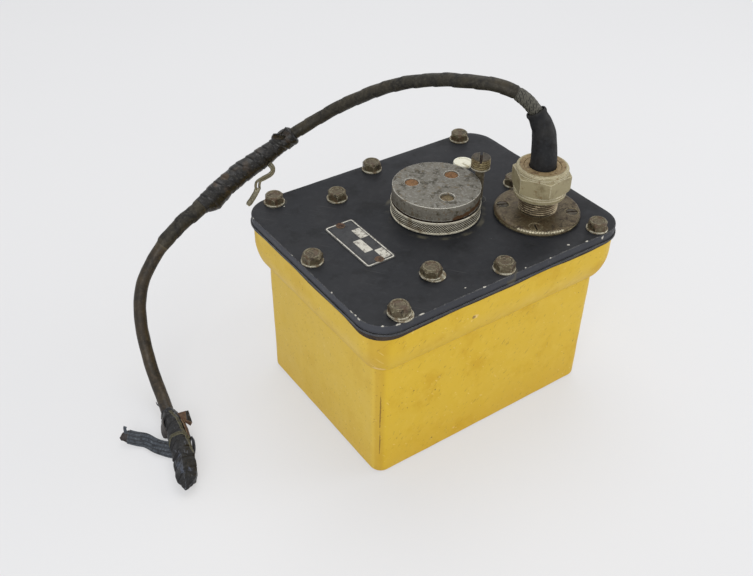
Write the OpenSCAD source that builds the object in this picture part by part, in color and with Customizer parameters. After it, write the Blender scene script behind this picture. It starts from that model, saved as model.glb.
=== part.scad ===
// Battery box of a miner's lamp: moulded case, bolted lid, screw cap over the charging socket,
// cable gland and a stiff old cable that ends in a taped stump.
// Origin at the centre of the underside of the case, +X along the long side towards the gland,
// +Z up. Millimetres.

/* [Lid] */
// Length of the lid
lid_l = 190; // [180:1:200]
// Width of the lid
lid_w = 149; // [142:1:156]
// Corner radius of the lid
lid_r = 18; // [14:0.5:20]
// Thickness of the lid plate
lid_t = 5; // [4:0.5:7]
// How far the backing plate stands out past the lid
backing_out = 1.2; // [0.4:0.1:2]
// Thickness of the backing plate
backing_t = 2; // [1.5:0.25:3]
// Thickness of the lid gasket
gasket_t = 1.2; // [0.8:0.1:2]

/* [Case] */
// Height of the case without the lid
case_h = 118.8; // [114:0.2:126]
// Inset of the collar from the lid's outline
collar_in = 1; // [0.5:0.1:1.5]
// Height of the straight side of the collar
collar_h = 12; // [10:0.5:15]
// Height of the rounded underside of the collar
collar_round = 19.5; // [15:0.5:22]
// Inset of the case wall from the lid's outline
wall_in = 9.5; // [9:0.1:10.5]
// Extra inset of the wall at the bottom
draft = 0.5; // [0.2:0.1:1]
// Thickness of the case wall
wall_t = 4; // [3:0.25:5]
// Thickness of the case floor
floor_t = 4; // [3:0.25:5]
// Rounding of the bottom edge
foot_round = 3; // [2:0.5:4]

/* [Lid bolts] */
// Thread diameter of the lid bolts
bolt_d = 6; // [5:0.5:6]
// Width of the bolt heads across the flats
bolt_af = 10; // [9:0.5:11]
// Height of the bolt heads
bolt_head = 5; // [3.5:0.5:6]
// Diameter of the bolt washers
washer_d = 13.4; // [12:0.2:13.6]
// Thickness of the bolt washers
washer_t = 1.2; // [0.8:0.1:1.6]
// Distance of the edge bolts from the lid's edge
bolt_edge = 7; // [6.8:0.1:7.4]
// Distance of the corner bolts from the lid's ends
corner_end = 20.3; // [19:0.1:24]
// Distance of the two inner bolts from the lid's long edges
inner_edge = 25.1; // [22:0.1:26]
// Distance of the two inner bolts from the lid's end
inner_end = 55.8; // [53:0.2:58]
// Distance of the lone inner bolt from the lid's other end
lone_end = 28.4; // [25:0.2:30]
// Outer diameter of the threaded inserts
insert_d = 9; // [8.5:0.25:9.5]
// Length of the threaded inserts
insert_l = 12; // [10:0.5:14]

/* [Screw cap] */
// Place of the cap along the lid
cap_x = 4; // [2:0.5:5]
// Place of the cap across the lid
cap_y = 3; // [0:0.5:4]
// Diameter of the knurled ring
ring_d = 56.4; // [54:0.2:57]
// Height of the knurled ring
ring_h = 8.6; // [7:0.2:9.2]
// Diameter of the top disc
disc_d = 55; // [53:0.2:55.6]
// Thickness of the top disc
disc_t = 9.4; // [8.6:0.2:9.4]
// Gap between the knurled ring and the lid
ring_gap = 0.8; // [0.5:0.1:1]
// Pitch circle radius of the cap screws
cap_screw_r = 15.5; // [14.6:0.1:15.8]
// Diameter of the holes over the cap screws
cap_hole_d = 7.6; // [7.2:0.2:8]

/* [Charging socket] */
// Outer diameter of the socket neck
neck_d = 45; // [44.4:0.2:45.6]
// Wall of the socket neck
neck_wall = 2.5; // [2.2:0.1:2.6]
// Height of the socket neck over the lid
neck_h = 12; // [11.4:0.2:12]
// Diameter of the socket contacts
contact_d = 5; // [4:0.5:6]
// Pitch circle radius of the socket contacts
contact_r = 10; // [9:0.5:11]

/* [Lock screw] */
// Diameter of the lock screw's stem
lock_d = 6; // [5:0.25:6]
// Diameter of the lock screw's head
lock_head_d = 12.2; // [11:0.2:12.6]
// Height of the lock screw's head
lock_head_h = 7; // [6:0.5:9]
// Height of the stem over the lid
lock_stem = 24; // [24:0.5:28]
// Direction of the slot in the lock screw's head
lock_slot_turn = 48; // [0:1:90]

/* [Cable gland] */
// Distance of the gland from the lid's end
gland_end = 39.4; // [38:0.2:41]
// Distance of the gland from the lid's long edge
gland_edge = 40.6; // [39.6:0.1:41.6]
// Diameter of the gland flange
flange_d = 54; // [52:0.5:55]
// Thickness of the gland flange
flange_t = 3.5; // [3:0.25:4.5]
// Diameter of the gland's threaded neck
gland_neck_d = 25.2; // [24:0.2:26]
// Pitch circle diameter of the flange screws
flange_pcd = 43; // [42:0.2:43.4]
// Width of the gland nut across the flats
nut_af = 32; // [31:0.5:34]
// Height of the gland nut
nut_h = 19.6; // [18:0.2:21]
// Height of the nut's underside over the lid
nut_lift = 15.3; // [14:0.1:16]

/* [Cable] */
// Diameter of the cable
cable_d = 8.3; // [7.5:0.1:9]
// Diameter of the boot at the nut
boot_d = 16; // [15:0.2:16.6]
// Diameter of the boot at its tip
boot_tip_d = 11.8; // [11:0.2:12.4]
// Diameter of the taped splice
splice_d = 14; // [12:0.5:15]
// Diameter of the taped end
stump_d = 13.6; // [12:0.2:14]

/* [Cells] */
// Number of cells
cell_count = 3; // [3:1:3]
// Thickness of the packing at the ends and sides of the cells
packing_t = 2.5; // [2:0.25:4]
// Free height between the cells and the terminal board
head_room = 11; // [10:0.5:15]
// Wall of the cell jars
jar_wall = 2; // [1.5:0.25:2.5]
// Thickness of one plate
plate_t = 2.6; // [2:0.2:3]
// Number of plates in a cell
plate_count = 7; // [5:1:7]
// Diameter of the cell posts
post_d = 7; // [6:0.5:7]

/* [Hidden] */
$fn = 64;

eps = 0.02;            // overlap of solids that join
fit = 0.05;            // radial clearance of threads and running fits
push = 0.02;           // radial clearance of pressed and bonded pieces
loose = 0.3;           // radial clearance of holes that a fastener passes through

// heights
backing_z = case_h + gasket_t;
lid_z = backing_z + backing_t;
top_z = lid_z + lid_t;
collar_z = case_h - collar_h - collar_round;

// the inside of the case
room_l = lid_l - 2 * (wall_in + wall_t);
room_w = lid_w - 2 * (wall_in + wall_t);
room_r = 4;

// bolts
bolt_y = lid_w / 2 - bolt_edge;
corner_x = lid_l / 2 - corner_end;
edge_places = [
  [-corner_x, bolt_y], [-corner_x, -bolt_y], [corner_x, -bolt_y],
  [corner_x, bolt_y], [0, bolt_y], [0, -bolt_y], [bolt_edge - lid_l / 2, 0]
];
inner_x = inner_end - lid_l / 2;
inner_y = lid_w / 2 - inner_edge;
inner_places = [[inner_x, inner_y], [inner_x, -inner_y], [lid_l / 2 - lone_end, 0.6]];
packed_places = [[edge_places[1], [0.9, -1.4]], [inner_places[1], [1.6, -1.0]]];
packing_hole = 4.9;    // the packing washers sit loose and off centre
bolt_reach = backing_t + lid_t + gasket_t + insert_l - 2;
pillar_h = 20;
pillar_d = 10;
board_t = 4;
board_z = backing_z - pillar_h - board_t;
board_top = board_z + board_t;
inner_reach = backing_t + lid_t + 12;
board_screw_d = 4;
board_l = room_l - 43;
board_mid = room_l / 2 - 7.5 - board_l / 2;
board_w = room_w - 10;

// cap
cap_at = [cap_x, cap_y, top_z];
cap_gap = 0.8;         // dark groove between ring and disc
disc_z = ring_gap + ring_h + cap_gap;
cap_top = disc_z + disc_t;
seal_t = 1;
roof_z = neck_h + seal_t;
cap_screw_turn = 16.5;
cap_head_h = 2.8;
cap_sink = 4;
insulator_top = 6;
liner_z = insulator_top + 2.5;
liner_d = neck_d - 2 * neck_wall - 1.2;
cap_spigot_d = disc_d - 3;

// lock screw, close beside the cap so that its head hangs over the disc
lock_at = [cap_x + 31.4, cap_y - 3.6, top_z];
lock_bush_d = 10;
lock_washer_t = 1;

// gland
gland_x = lid_l / 2 - gland_end;
gland_y = gland_edge - lid_w / 2;
gland_at = [gland_x, gland_y, top_z];
gland_gasket_t = 0.5;
flange_top = gland_gasket_t + flange_t;
thread_pitch = 1.5;
gland_neck_h = 27;
gland_bore = 17;
spigot_d = 22;
flange_screw_d = 3.8;
flange_head_d = 7.6;
flange_head_h = 2;
head_z = flange_top - 0.4 - flange_head_h;
nut_hole = 23;
nut_collar_d = nut_af + 0.6;
slip_in = 18;
slip_z = gland_neck_h + 0.2;

// route of the cable: boot, upper run, splice, lower run and stump
route = [
  [gland_x, gland_y, top_z + gland_neck_h], [gland_x, gland_y, top_z + 38], [56.1, -32.1, 175],
  [55.7, -29.9, 184.2], [52.5, -25.3, 194.7],
  [47.7, -20.2, 201.6], [40.9, -13.6, 206.9], [32.4, -4.6, 209.1], [25.2, 8.2, 207.5],
  [22.7, 23, 203.3], [19.2, 38, 197.8], [14, 53, 191.5], [7.5, 68.5, 183], [0, 82, 173.5],
  [-8.5, 95.5, 163], [-19, 106.5, 152], [-32, 114.5, 142],
  [-43, 118, 135], [-57, 119.5, 128.3], [-71, 119.3, 123], [-85, 117.5, 117.7],
  [-98, 115, 112.5],
  [-112, 112.5, 107.5], [-125, 110.5, 102], [-137, 108.8, 94], [-147, 107.5, 84],
  [-155, 106, 73], [-160.5, 102.5, 60.5], [-164, 97, 46.5], [-166, 89, 32],
  [-167.5, 79, 20], [-169, 65, 11.5], [-171.5, 50, 8],
  [-174, 38, 7.4], [-177, 25, 7.4], [-180.5, 12, 7.4], [-184, 1, 7.2], [-187, -8.5, 6]
];
boot_end = 4;
splice_start = 16;
splice_end = 21;
stump_start = 32;
last = len(route) - 1;
hook = [[-52, 113.3, 127.2], [-51.8, 111, 124.7], [-51.8, 109.2, 122.3], [-53.6, 108.4, 120.6],
  [-57, 109.2, 118.9], [-60.5, 110.4, 117.6], [-63, 110.6, 116], [-64.4, 109.8, 113.6],
  [-65.4, 108.2, 111.2]];
hook_leg = [[-64.6, 108.9, 113], [-68.7, 107.7, 108.7], [-72.2, 107.4, 105.7], [-75, 107, 103.2]];
clip_plate = [[-172.5, 46, 13.4], [-168, 43.5, 15.2], [-164, 38.5, 15], [-162.5, 34, 12],
  [-164.5, 32, 8.5]];
clip_strap = [[-166.6, 35, 9], [-167.3, 27, 8], [-169.5, 18, 7.5], [-172, 9.5, 6.5]];
tail = [[-181, 21.5, 5.6], [-185, 26, 5.2], [-189, 32, 5], [-193, 38, 5], [-197, 43, 5],
  [-200.5, 46.5, 5.4], [-201.5, 49, 8]];
cable_sides = 12;

// cells
cells_z = floor_t + 3;
jar_l = (room_l - 2 * packing_t - (cell_count - 1)) / cell_count;
jar_w = room_w - 2 * packing_t - 1;
cell_top_t = 4;
post_z = board_z - head_room;
cell_top_z = post_z - cell_top_t;
jar_h = cell_top_z - cells_z;
post_y = room_w / 2 - 23;
cell_pitch = jar_l + 1;
link_t = 2;
plates_z = cells_z + jar_wall + 2;
plate_h = jar_h - 16;
strap_h = 4;

// ---- shapes ----
module outline(l, w, r) {
  square([l - 2 * r, w], center = true);
  square([l, w - 2 * r], center = true);
  for (x = [-1, 1], y = [-1, 1]) translate([x * (l / 2 - r), y * (w / 2 - r)]) circle(r);
}
module slab(l, w, r, t) linear_extrude(height = t) outline(l, w, r);
// a profile carried round the lid's outline: x is the distance from the corner's centre
module carried_round(profile) {
  half_l = lid_l / 2 - lid_r;
  half_w = lid_w / 2 - lid_r;
  for (c = [[half_l, half_w, 0], [-half_l, half_w, 90], [-half_l, -half_w, 180],
    [half_l, -half_w, 270]])
    translate([c.x, c.y, 0]) rotate(c.z) rotate_extrude(angle = 90) polygon(profile);
  for (x = [0, 180]) rotate(x) translate([half_l - eps, half_w, 0]) rotate([90, 0, 0])
    linear_extrude(height = 2 * half_w) polygon(profile);
  for (y = [0, 180]) rotate(y) translate([-half_l, half_w - eps, 0]) rotate([90, 0, 90])
    linear_extrude(height = 2 * half_l) polygon(profile);
}
module at_all(places) for (p = places) translate([p.x, p.y, 0]) children();
module tube(d, d_in, h) difference() {
  cylinder(d = d, h = h);
  translate([0, 0, -1]) cylinder(d = d_in, h = h + 2);
}
module hexagon(af, h) cylinder(d = af / cos(30), h = h, $fn = 6);
module ring_at(r, count, turn) for (i = [0:count - 1]) rotate(turn + 360 / count * i)
  translate([r, 0, 0]) children();

// a tube that follows part of a list of points, with a radius for each point
function unit(v) = v / norm(v);
function heading(path, i) =
  unit(path[min(i + 1, len(path) - 1)] - path[max(i - 1, 0)]);
function carried(path, i, side) =
  let (d = heading(path, i), s = unit(side - (side * d) * d))
  i == len(path) - 1 ? [s] : concat([s], carried(path, i + 1, s));
module sweep(path, radii, first, end, sides) {
  frames = carried(path, 0, [1, 0, 0]);
  rings = end - first + 1;
  points = [for (i = [first:end]) let (d = heading(path, i), u = frames[i], v = cross(d, u))
    for (k = [0:sides - 1]) let (a = 360 * k / sides)
      path[i] + radii[i - first] * (cos(a) * u + sin(a) * v)];
  walls = [for (i = [0:rings - 2], k = [0:sides - 1])
    let (a = i * sides + k, b = i * sides + (k + 1) % sides)
    each [[a, a + sides, b], [b, a + sides, b + sides]]];
  caps = [for (k = [1:sides - 2]) each
    [[0, k, k + 1], [(rings - 1) * sides, (rings - 1) * sides + k + 1, (rings - 1) * sides + k]]];
  polyhedron(points = points, faces = concat(walls, caps));
}
function same(r, n) = [for (i = [1:n]) r];

// ---- case ----
function collar_out(t) = (wall_in - collar_in) * pow(1 - pow(t, 1.6), 1 / 1.6);
case_profile = concat(
  [[0, 0]],
  [for (a = [0:18:90]) [lid_r - wall_in - draft - foot_round * (1 - sin(a)),
    foot_round * (1 - cos(a))]],
  [for (t = [1:-0.1:0]) [lid_r - wall_in + collar_out(t), collar_z + collar_round * (1 - t)]],
  [[lid_r - collar_in, case_h], [0, case_h]]);
module case_outside() {
  carried_round(case_profile);
  translate([eps / 2 - lid_l / 2 + lid_r, eps / 2 - lid_w / 2 + lid_r, 0])
    cube([lid_l - 2 * lid_r - eps, lid_w - 2 * lid_r - eps, case_h]);
}
module case() color("#cdac48") difference() {
  case_outside();
  translate([0, 0, floor_t]) slab(room_l, room_w, room_r, case_h);
  at_all(edge_places) translate([0, 0, case_h - insert_l])
    cylinder(d = insert_d + 2 * push, h = insert_l + 1);
}
module case_inserts() color("#b08d3c") at_all(edge_places)
  translate([0, 0, case_h - insert_l]) tube(insert_d, bolt_d + 2 * fit, insert_l);

// ---- lid ----
module lid_holes() {
  translate([0, 0, -50]) {
    at_all(concat(edge_places, inner_places)) cylinder(d = bolt_d + 2 * loose, h = 200);
    translate([cap_x, cap_y, 0]) cylinder(d = neck_d + 2 * push, h = 200);
    translate([lock_at.x, lock_at.y, 0]) cylinder(d = lock_bush_d + 2 * push, h = 200);
    translate([gland_x, gland_y, 0]) {
      cylinder(d = spigot_d + 2 * push, h = 200);
      ring_at(flange_pcd / 2, 4, 45) cylinder(d = flange_screw_d + 2 * fit, h = 200);
    }
    translate([plug_at.x, plug_at.y, 0]) cylinder(d = plug_stem_d + 2 * push, h = 200);
    at_all(rivet_places) cylinder(d = rivet_d + 2 * push, h = 200);
  }
}
module lid() color("#38393b") difference() {
  translate([0, 0, lid_z]) slab(lid_l, lid_w, lid_r, lid_t);
  lid_holes();
}
module lid_backing() color("#2f3032") difference() {
  translate([0, 0, backing_z])
    slab(lid_l + 2 * backing_out, lid_w + 2 * backing_out, lid_r + backing_out, backing_t);
  lid_holes();
}
module lid_gasket() color("#4a3420") difference() {
  translate([0, 0, case_h]) slab(lid_l - 0.6, lid_w - 0.6, lid_r - 0.3, gasket_t);
  translate([0, 0, case_h - 1]) slab(room_l, room_w, room_r, gasket_t + 2);
  at_all(edge_places) translate([0, 0, case_h - 1])
    cylinder(d = bolt_d + 2 * loose, h = gasket_t + 2);
}
module bolt(reach, lift) translate([0, 0, top_z + lift]) {
  difference() {
    hexagon(bolt_af, bolt_head);
    translate([0, 0, bolt_head - 0.7]) cylinder(d = bolt_af * 0.66, h = 2);
    difference() {
      translate([0, 0, bolt_head - 1.2]) cylinder(d = bolt_af * 1.4, h = 2);
      translate([0, 0, bolt_head - 1.21])
        cylinder(d1 = bolt_af * 1.16, d2 = bolt_af * 0.94, h = 1.22);
    }
  }
  translate([0, 0, -reach - lift]) cylinder(d = bolt_d, h = reach + lift + 0.5);
}
function lift_at(p) = washer_t + (len([for (q = packed_places) if (q[0] == p) 1]) > 0 ? 1 : 0);
module bolts(places, reach, turn) for (i = [0:len(places) - 1])
  translate([places[i].x, places[i].y, 0]) rotate(turn * i) bolt(reach, lift_at(places[i]));
module edge_bolts() color("#645a46") bolts(edge_places, bolt_reach, 17);
module inner_bolts() color("#645a46") bolts(inner_places, inner_reach, 23);
module bolt_washers() color("#aaa58d") for (p = concat(edge_places, inner_places))
  translate([p.x, p.y, top_z + lift_at(p) - washer_t])
    tube(washer_d, bolt_d + 2 * loose, washer_t);
module packing_washers() color("#8d8770") for (q = packed_places)
  translate([q[0].x + q[1].x, q[0].y + q[1].y, top_z]) tube(washer_d, 2 * packing_hole, 1);

// ---- data plate and blank plug ----
tag_at = [40.1 - lid_l / 2, 0.4];
tag_l = 48;
tag_w = 20.6;
tag_t = 0.6;
rivet_d = 3;
rivet_places = [[tag_at.x, tag_at.y + 20.8], [tag_at.x, tag_at.y - 20.8]];
module data_plate() color("#2b2c2d") difference() {
  translate([tag_at.x, tag_at.y, top_z]) slab(tag_w, tag_l, 2.4, tag_t);
  at_all(rivet_places) cylinder(d = rivet_d + 2 * push, h = 200);
}
module plate_rivets() color("#6d4a33") at_all(rivet_places) {
  translate([0, 0, top_z - 4]) cylinder(d = rivet_d, h = 4 + tag_t + 0.1);
  translate([0, 0, top_z + tag_t]) intersection() {
    translate([0, 0, -2.2]) sphere(r = 3.2);
    cylinder(d = 6, h = 3);
  }
}
plug_at = [gland_x, lid_w / 2 - 35.5];
plug_d = 13.8;
plug_stem_d = 9;
module blank_plug() color("#c9c6b2") translate([plug_at.x, plug_at.y, top_z]) {
  difference() {
    cylinder(d = plug_d, h = 1.8);
    translate([0, 0, 1.1]) cylinder(d = plug_d - 3.4, h = 2);
  }
  translate([-1.2, -plug_d / 2 + 1, 0.5]) cube([2.4, 5.2, 1.5]);
  translate([0, 0, -lid_t - backing_t - 2]) cylinder(d = plug_stem_d, h = lid_t + backing_t + 2.5);
}

// ---- screw cap ----
module at_cap() translate(cap_at) children();
module cap_disc() color("#969080") at_cap() difference() {
  union() {
    translate([0, 0, disc_z]) cylinder(d = disc_d, h = disc_t - 0.8);
    translate([0, 0, cap_top - 0.8]) cylinder(d1 = disc_d, d2 = disc_d - 1.4, h = 0.8);
  }
  translate([0, 0, disc_z - 1]) cylinder(d = cap_spigot_d + 2 * push, h = roof_z - disc_z + 1);
  ring_at(cap_screw_r, 3, cap_screw_turn) {
    translate([0, 0, cap_top - cap_sink]) cylinder(d = cap_hole_d, h = cap_sink + 1);
    cylinder(d = 4 + 2 * fit, h = cap_top);
  }
}
module cap_ring() color("#969178") at_cap() {
  translate([0, 0, ring_gap]) tube(ring_d, neck_d + 2 * fit, ring_h);
  translate([0, 0, ring_gap + ring_h - 0.5])
    tube(cap_spigot_d, neck_d + 2 * loose, roof_z - ring_gap - ring_h + 0.4);
}
module cap_screws() color("#8a5a36") at_cap() ring_at(cap_screw_r, 3, cap_screw_turn) {
  translate([0, 0, cap_top - cap_sink]) difference() {
    cylinder(d = cap_hole_d - 0.5, h = cap_head_h);
    translate([-5, -0.6, cap_head_h - 1]) cube([10, 1.2, 2]);
  }
  translate([0, 0, liner_z + 0.5]) cylinder(d = 4, h = cap_top - cap_sink - liner_z);
}
module cap_liner() color("#a08a50") at_cap() difference() {
  translate([0, 0, liner_z]) cylinder(d = liner_d, h = roof_z - liner_z);
  ring_at(cap_screw_r, 3, cap_screw_turn) cylinder(d = 4 + 2 * fit, h = 30);
}
module cap_seal() color("#26262a") at_cap() translate([0, 0, neck_h])
  tube(neck_d - 0.4, neck_d - 2 * neck_wall + 0.4, seal_t);

// ---- charging socket ----
module socket_neck() color("#a08a50") at_cap() {
  translate([0, 0, -lid_t - backing_t - 3])
    tube(neck_d, neck_d - 2 * neck_wall, neck_h + lid_t + backing_t + 3);
  translate([0, 0, -lid_t - backing_t - 3]) tube(neck_d + 4, neck_d - 1, 3);
}
module socket_insulator() color("#3b2b22") at_cap() difference() {
  translate([0, 0, -8]) cylinder(d = neck_d - 2 * neck_wall - 2 * push, h = 8 + insulator_top);
  translate([0, 0, -20]) ring_at(contact_r, 3, 76) cylinder(d = contact_d + 2 * fit, h = 40);
}
module socket_contacts() color("#b59a52") at_cap() ring_at(contact_r, 3, 76)
  translate([0, 0, board_top - top_z])
    cylinder(d = contact_d, h = top_z - board_top + insulator_top + 0.8);

// ---- lock screw ----
module lock_screw() color("#5e5238") translate(lock_at) {
  translate([0, 0, -lid_t - backing_t - 6])
    cylinder(d = lock_d, h = lock_stem + lid_t + backing_t + 6.5);
  translate([0, 0, lock_stem]) difference() {
    union() {
      cylinder(d = lock_head_d - 1.2, h = lock_head_h);
      for (z = [0:1.6:lock_head_h - 1]) translate([0, 0, z + 0.2]) cylinder(d = lock_head_d, h = 1);
    }
    rotate(lock_slot_turn) translate([-10, -0.8, lock_head_h - 2.2]) cube([20, 1.6, 3]);
  }
}
module lock_washer() color("#8d8770") translate(lock_at)
  translate([0, 0, lock_stem - lock_washer_t])
    tube(lock_head_d, lock_d + 2 * fit, lock_washer_t);
module lock_bush() color("#a08a50") translate(lock_at) {
  translate([0, 0, -lid_t - backing_t - 5])
    tube(lock_bush_d, lock_d + 2 * fit, lid_t + backing_t + 5);
  translate([0, 0, -lid_t - backing_t - 2]) tube(lock_bush_d + 3, lock_bush_d - 1, 2);
}

// ---- cable gland ----
module at_gland() translate(gland_at) children();
neck_root = gland_neck_d / 2 - 0.8;
thread_count = floor((gland_neck_h - flange_top - 1) / thread_pitch);
gland_profile = concat(
  [[gland_bore / 2, -lid_t - backing_t - 3], [spigot_d / 2, -lid_t - backing_t - 3],
   [spigot_d / 2, gland_gasket_t], [flange_d / 2 - 0.3, gland_gasket_t]],
  [for (a = [0:15:90]) [flange_d / 2 - 1.4 + 1.4 * cos(a), flange_top - 1.65 + 1.4 * sin(a)]],
  [[neck_root, flange_top]],
  [for (k = [0:thread_count - 1]) each
    [[neck_root, flange_top + 0.5 + k * thread_pitch],
     [gland_neck_d / 2, flange_top + 0.5 + (k + 0.5) * thread_pitch]]],
  [[neck_root, flange_top + 0.5 + thread_count * thread_pitch], [neck_root, gland_neck_h],
   [gland_bore / 2, gland_neck_h]]);
module gland_body() color("#5f5541") at_gland() difference() {
  rotate_extrude() polygon(gland_profile);
  ring_at(flange_pcd / 2, 4, 45) {
    rotate_extrude() polygon([[0, -1], [flange_screw_d / 2 + fit, -1],
      [flange_screw_d / 2 + fit, head_z], [flange_head_d / 2 + fit, head_z + flange_head_h],
      [flange_head_d / 2 + fit, flange_top + 2], [0, flange_top + 2]]);
  }
}
module gland_gasket() color("#1d1d1f") at_gland() difference() {
  cylinder(d = flange_d + 0.8, h = gland_gasket_t);
  translate([0, 0, -1]) {
    cylinder(d = spigot_d + 2 * push, h = 5);
    ring_at(flange_pcd / 2, 4, 45) cylinder(d = flange_screw_d + 2 * fit, h = 5);
  }
}
module gland_screws() color("#544a38") at_gland() ring_at(flange_pcd / 2, 4, 45) {
  translate([0, 0, -lid_t]) cylinder(d = flange_screw_d, h = lid_t + head_z + 0.5);
  translate([0, 0, head_z]) difference() {
    cylinder(d1 = flange_screw_d, d2 = flange_head_d, h = flange_head_h);
    rotate(20) translate([-5, -0.5, flange_head_h - 1]) cube([10, 1, 2]);
  }
}
module gland_nut() color("#b3ab8e") at_gland() translate([0, 0, nut_lift]) difference() {
  union() {
    rotate_extrude() polygon([[0, 0], [nut_collar_d / 2 - 0.8, 0], [nut_collar_d / 2, 1.6],
      [nut_collar_d / 2, 4.8], [nut_af / 2 - 1, 4.8], [nut_af / 2 - 1, nut_h - 3.8],
      [nut_collar_d / 2 - 0.2, nut_h - 3.8], [nut_collar_d / 2 - 0.2, nut_h - 1.4],
      [nut_collar_d / 2 - 1.5, nut_h], [0, nut_h]]);
    intersection() {
      translate([0, 0, 4.6]) rotate(7) hexagon(nut_af, nut_h - 8.2);
      rotate_extrude() polygon([[0, 4.5], [nut_af * 0.52, 4.5], [nut_af * 0.59, 7],
        [nut_af * 0.59, nut_h - 6], [nut_af * 0.52, nut_h - 3.5], [0, nut_h - 3.5]]);
    }
  }
  rotate_extrude() polygon([[0, -1], [gland_neck_d / 2 + fit, -1],
    [gland_neck_d / 2 + fit, gland_neck_h - nut_lift + 3],
    [nut_hole / 2, gland_neck_h - nut_lift + 3], [nut_hole / 2, nut_h - 1.5],
    [nut_hole / 2 + 1.8, nut_h + 0.01], [0, nut_h + 0.01]]);
}
module gland_slip_ring() color("#7a5535") at_gland() translate([0, 0, slip_z])
  tube(nut_hole - 2 * loose, slip_in, nut_lift + nut_h - 1.6 - slip_z);
module gland_seal() color("#26262a") at_gland() translate([0, 0, 8])
  tube(gland_bore - 2 * push, cable_d + 2 * push, gland_neck_h - 8);

// ---- cable ----
module cable_boot() color("#2d2d2e") sweep(route,
  [boot_d / 2, boot_d / 2, boot_d / 2 - 0.2, (boot_d + boot_tip_d) / 4 + 0.4, boot_tip_d / 2],
  0, boot_end, cable_sides);
module cable_upper() color("#3c3730")
  sweep(route, same(cable_d / 2, splice_start - boot_end + 1), boot_end, splice_start, cable_sides);
module cable_splice() color("#2b2926") sweep(route,
  [for (s = [0.78, 0.86, 1, 1, 0.98, 0.84]) s * splice_d / 2], splice_start, splice_end, cable_sides);
module cable_lower() color("#3c3730") sweep(route,
  concat([for (s = [1.3, 1.26, 1.14]) s * cable_d / 2],
    same(cable_d / 2, stump_start - splice_end - 2)),
  splice_end, stump_start, cable_sides);
module cable_stump() color("#2b2926") sweep(route,
  [for (s = [0.8, 0.98, 0.92, 1, 0.94, 0.45]) s * stump_d / 2], stump_start, last, cable_sides);

// a bent strip: a flat outline across the view, as thick as the strip
module strip_path(points, w, t, first_side) {
  frames = carried(points, 0, first_side);
  n = len(points);
  corners = [for (i = [0:n - 1]) let (d = heading(points, i), u = frames[i], v = cross(d, u))
    for (c = [[-1, -1], [1, -1], [1, 1], [-1, 1]]) points[i] + c.x * w / 2 * u + c.y * t / 2 * v];
  walls = [for (i = [0:n - 2], k = [0:3]) let (a = 4 * i + k, b = 4 * i + (k + 1) % 4)
    each [[a, a + 4, b], [b, a + 4, b + 4]]];
  caps = [[0, 1, 2], [0, 2, 3],
    [4 * n - 4, 4 * n - 2, 4 * n - 3], [4 * n - 4, 4 * n - 1, 4 * n - 2]];
  polyhedron(points = corners, faces = concat(walls, caps));
}
module splice_hook() color("#6b6856") {
  sweep(hook, same(1.15, len(hook)), 0, len(hook) - 1, 8);
  strip_path(hook_leg, 3.4, 1.2, [0.81, -0.58, 0]);
}
module stump_clip() color("#7a4a2c") {
  strip_path(clip_strap, 5, 1, [0, 0.3, 1]);
  strip_path(clip_plate, 6.5, 1, [-0.2, -0.95, -0.2]);
}
module tape_tail() color("#33302a") sweep(tail, [4.2, 4.5, 4.6, 4.4, 4.2, 3.4, 1.6], 0, 6, 8);

// ---- inside: lead, board and fuse ----
module cable_tail() color("#3c3730") at_gland()
  translate([0, 0, -15]) cylinder(d = cable_d, h = gland_neck_h + 15);
module cable_cores() color("#7c2f28") for (y = [0, 1]) {
  core = [[gland_x - 1.8, gland_y - 1.8 + 3.6 * y, top_z - 15 - fit],
    [gland_x - 1.8, gland_y - 1.8 + 3.6 * y, top_z - 19],
    [gland_x - 8, gland_y - 4 + 8 * y, board_top + 5],
    [gland_x - 16, gland_y - 7 + 14 * y, board_top + 3.6],
    [gland_x - 23.6, gland_y - 7 + 14 * y, board_top + 3.6]];
  sweep(core, same(1.4, 5), 0, 4, 8);
}
terminal_y = room_w / 2 - 24;
terminal_places = [[gland_x - 25.6, gland_y - 7], [gland_x - 25.6, gland_y + 7],
  [-30, -terminal_y], [34, terminal_y + 3]];
fuse_at = [8, terminal_y + 3];
fuse_l = 30;
module terminal_board() color("#8a6a3a") difference() {
  translate([board_mid, 0, board_z]) slab(board_l, board_w, 5, board_t);
  at_all(inner_places) cylinder(d = board_screw_d + 2 * loose, h = 200);
  translate([cell_pitch, post_y, 0]) cylinder(d = 16, h = 200);
}
module board_pillars() color("#a08a50") at_all(inner_places) difference() {
  translate([0, 0, board_top]) cylinder(d = pillar_d, h = pillar_h);
  translate([0, 0, board_top - 1]) cylinder(d = board_screw_d + 2 * fit, h = 6);
  translate([0, 0, top_z - inner_reach - 0.5]) cylinder(d = bolt_d + 2 * fit, h = pillar_h);
}
module board_screws() color("#8d8770") at_all(inner_places) {
  translate([0, 0, board_z - 1]) cylinder(d = board_screw_d, h = board_t + 5);
  translate([0, 0, board_z - 2.4]) difference() {
    cylinder(d = 8, h = 2.4);
    translate([-5, -0.5, -1]) cube([10, 1, 1.8]);
  }
}
module board_terminals() color("#b59a52") at_all(terminal_places) translate([0, 0, board_top]) {
  difference() {
    translate([-4.5, -4, 0]) cube([9, 8, 7]);
    translate([0, 0, 3.6]) rotate([0, 90, 0]) cylinder(d = 3.2, h = 20, center = true, $fn = 24);
  }
  translate([0, 0, 6.9]) difference() {
    cylinder(d = 5.5, h = 2, $fn = 32);
    translate([-4, -0.4, 1]) cube([8, 0.8, 2]);
  }
}
module fuse() color("#c9d2d0") translate([fuse_at.x - fuse_l / 2, fuse_at.y, board_top + 6])
  rotate([0, 90, 0]) {
    cylinder(d = 6, h = fuse_l, $fn = 32);
    for (x = [0, fuse_l - 6]) translate([0, 0, x]) cylinder(d = 6.6, h = 6, $fn = 32);
  }
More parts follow.
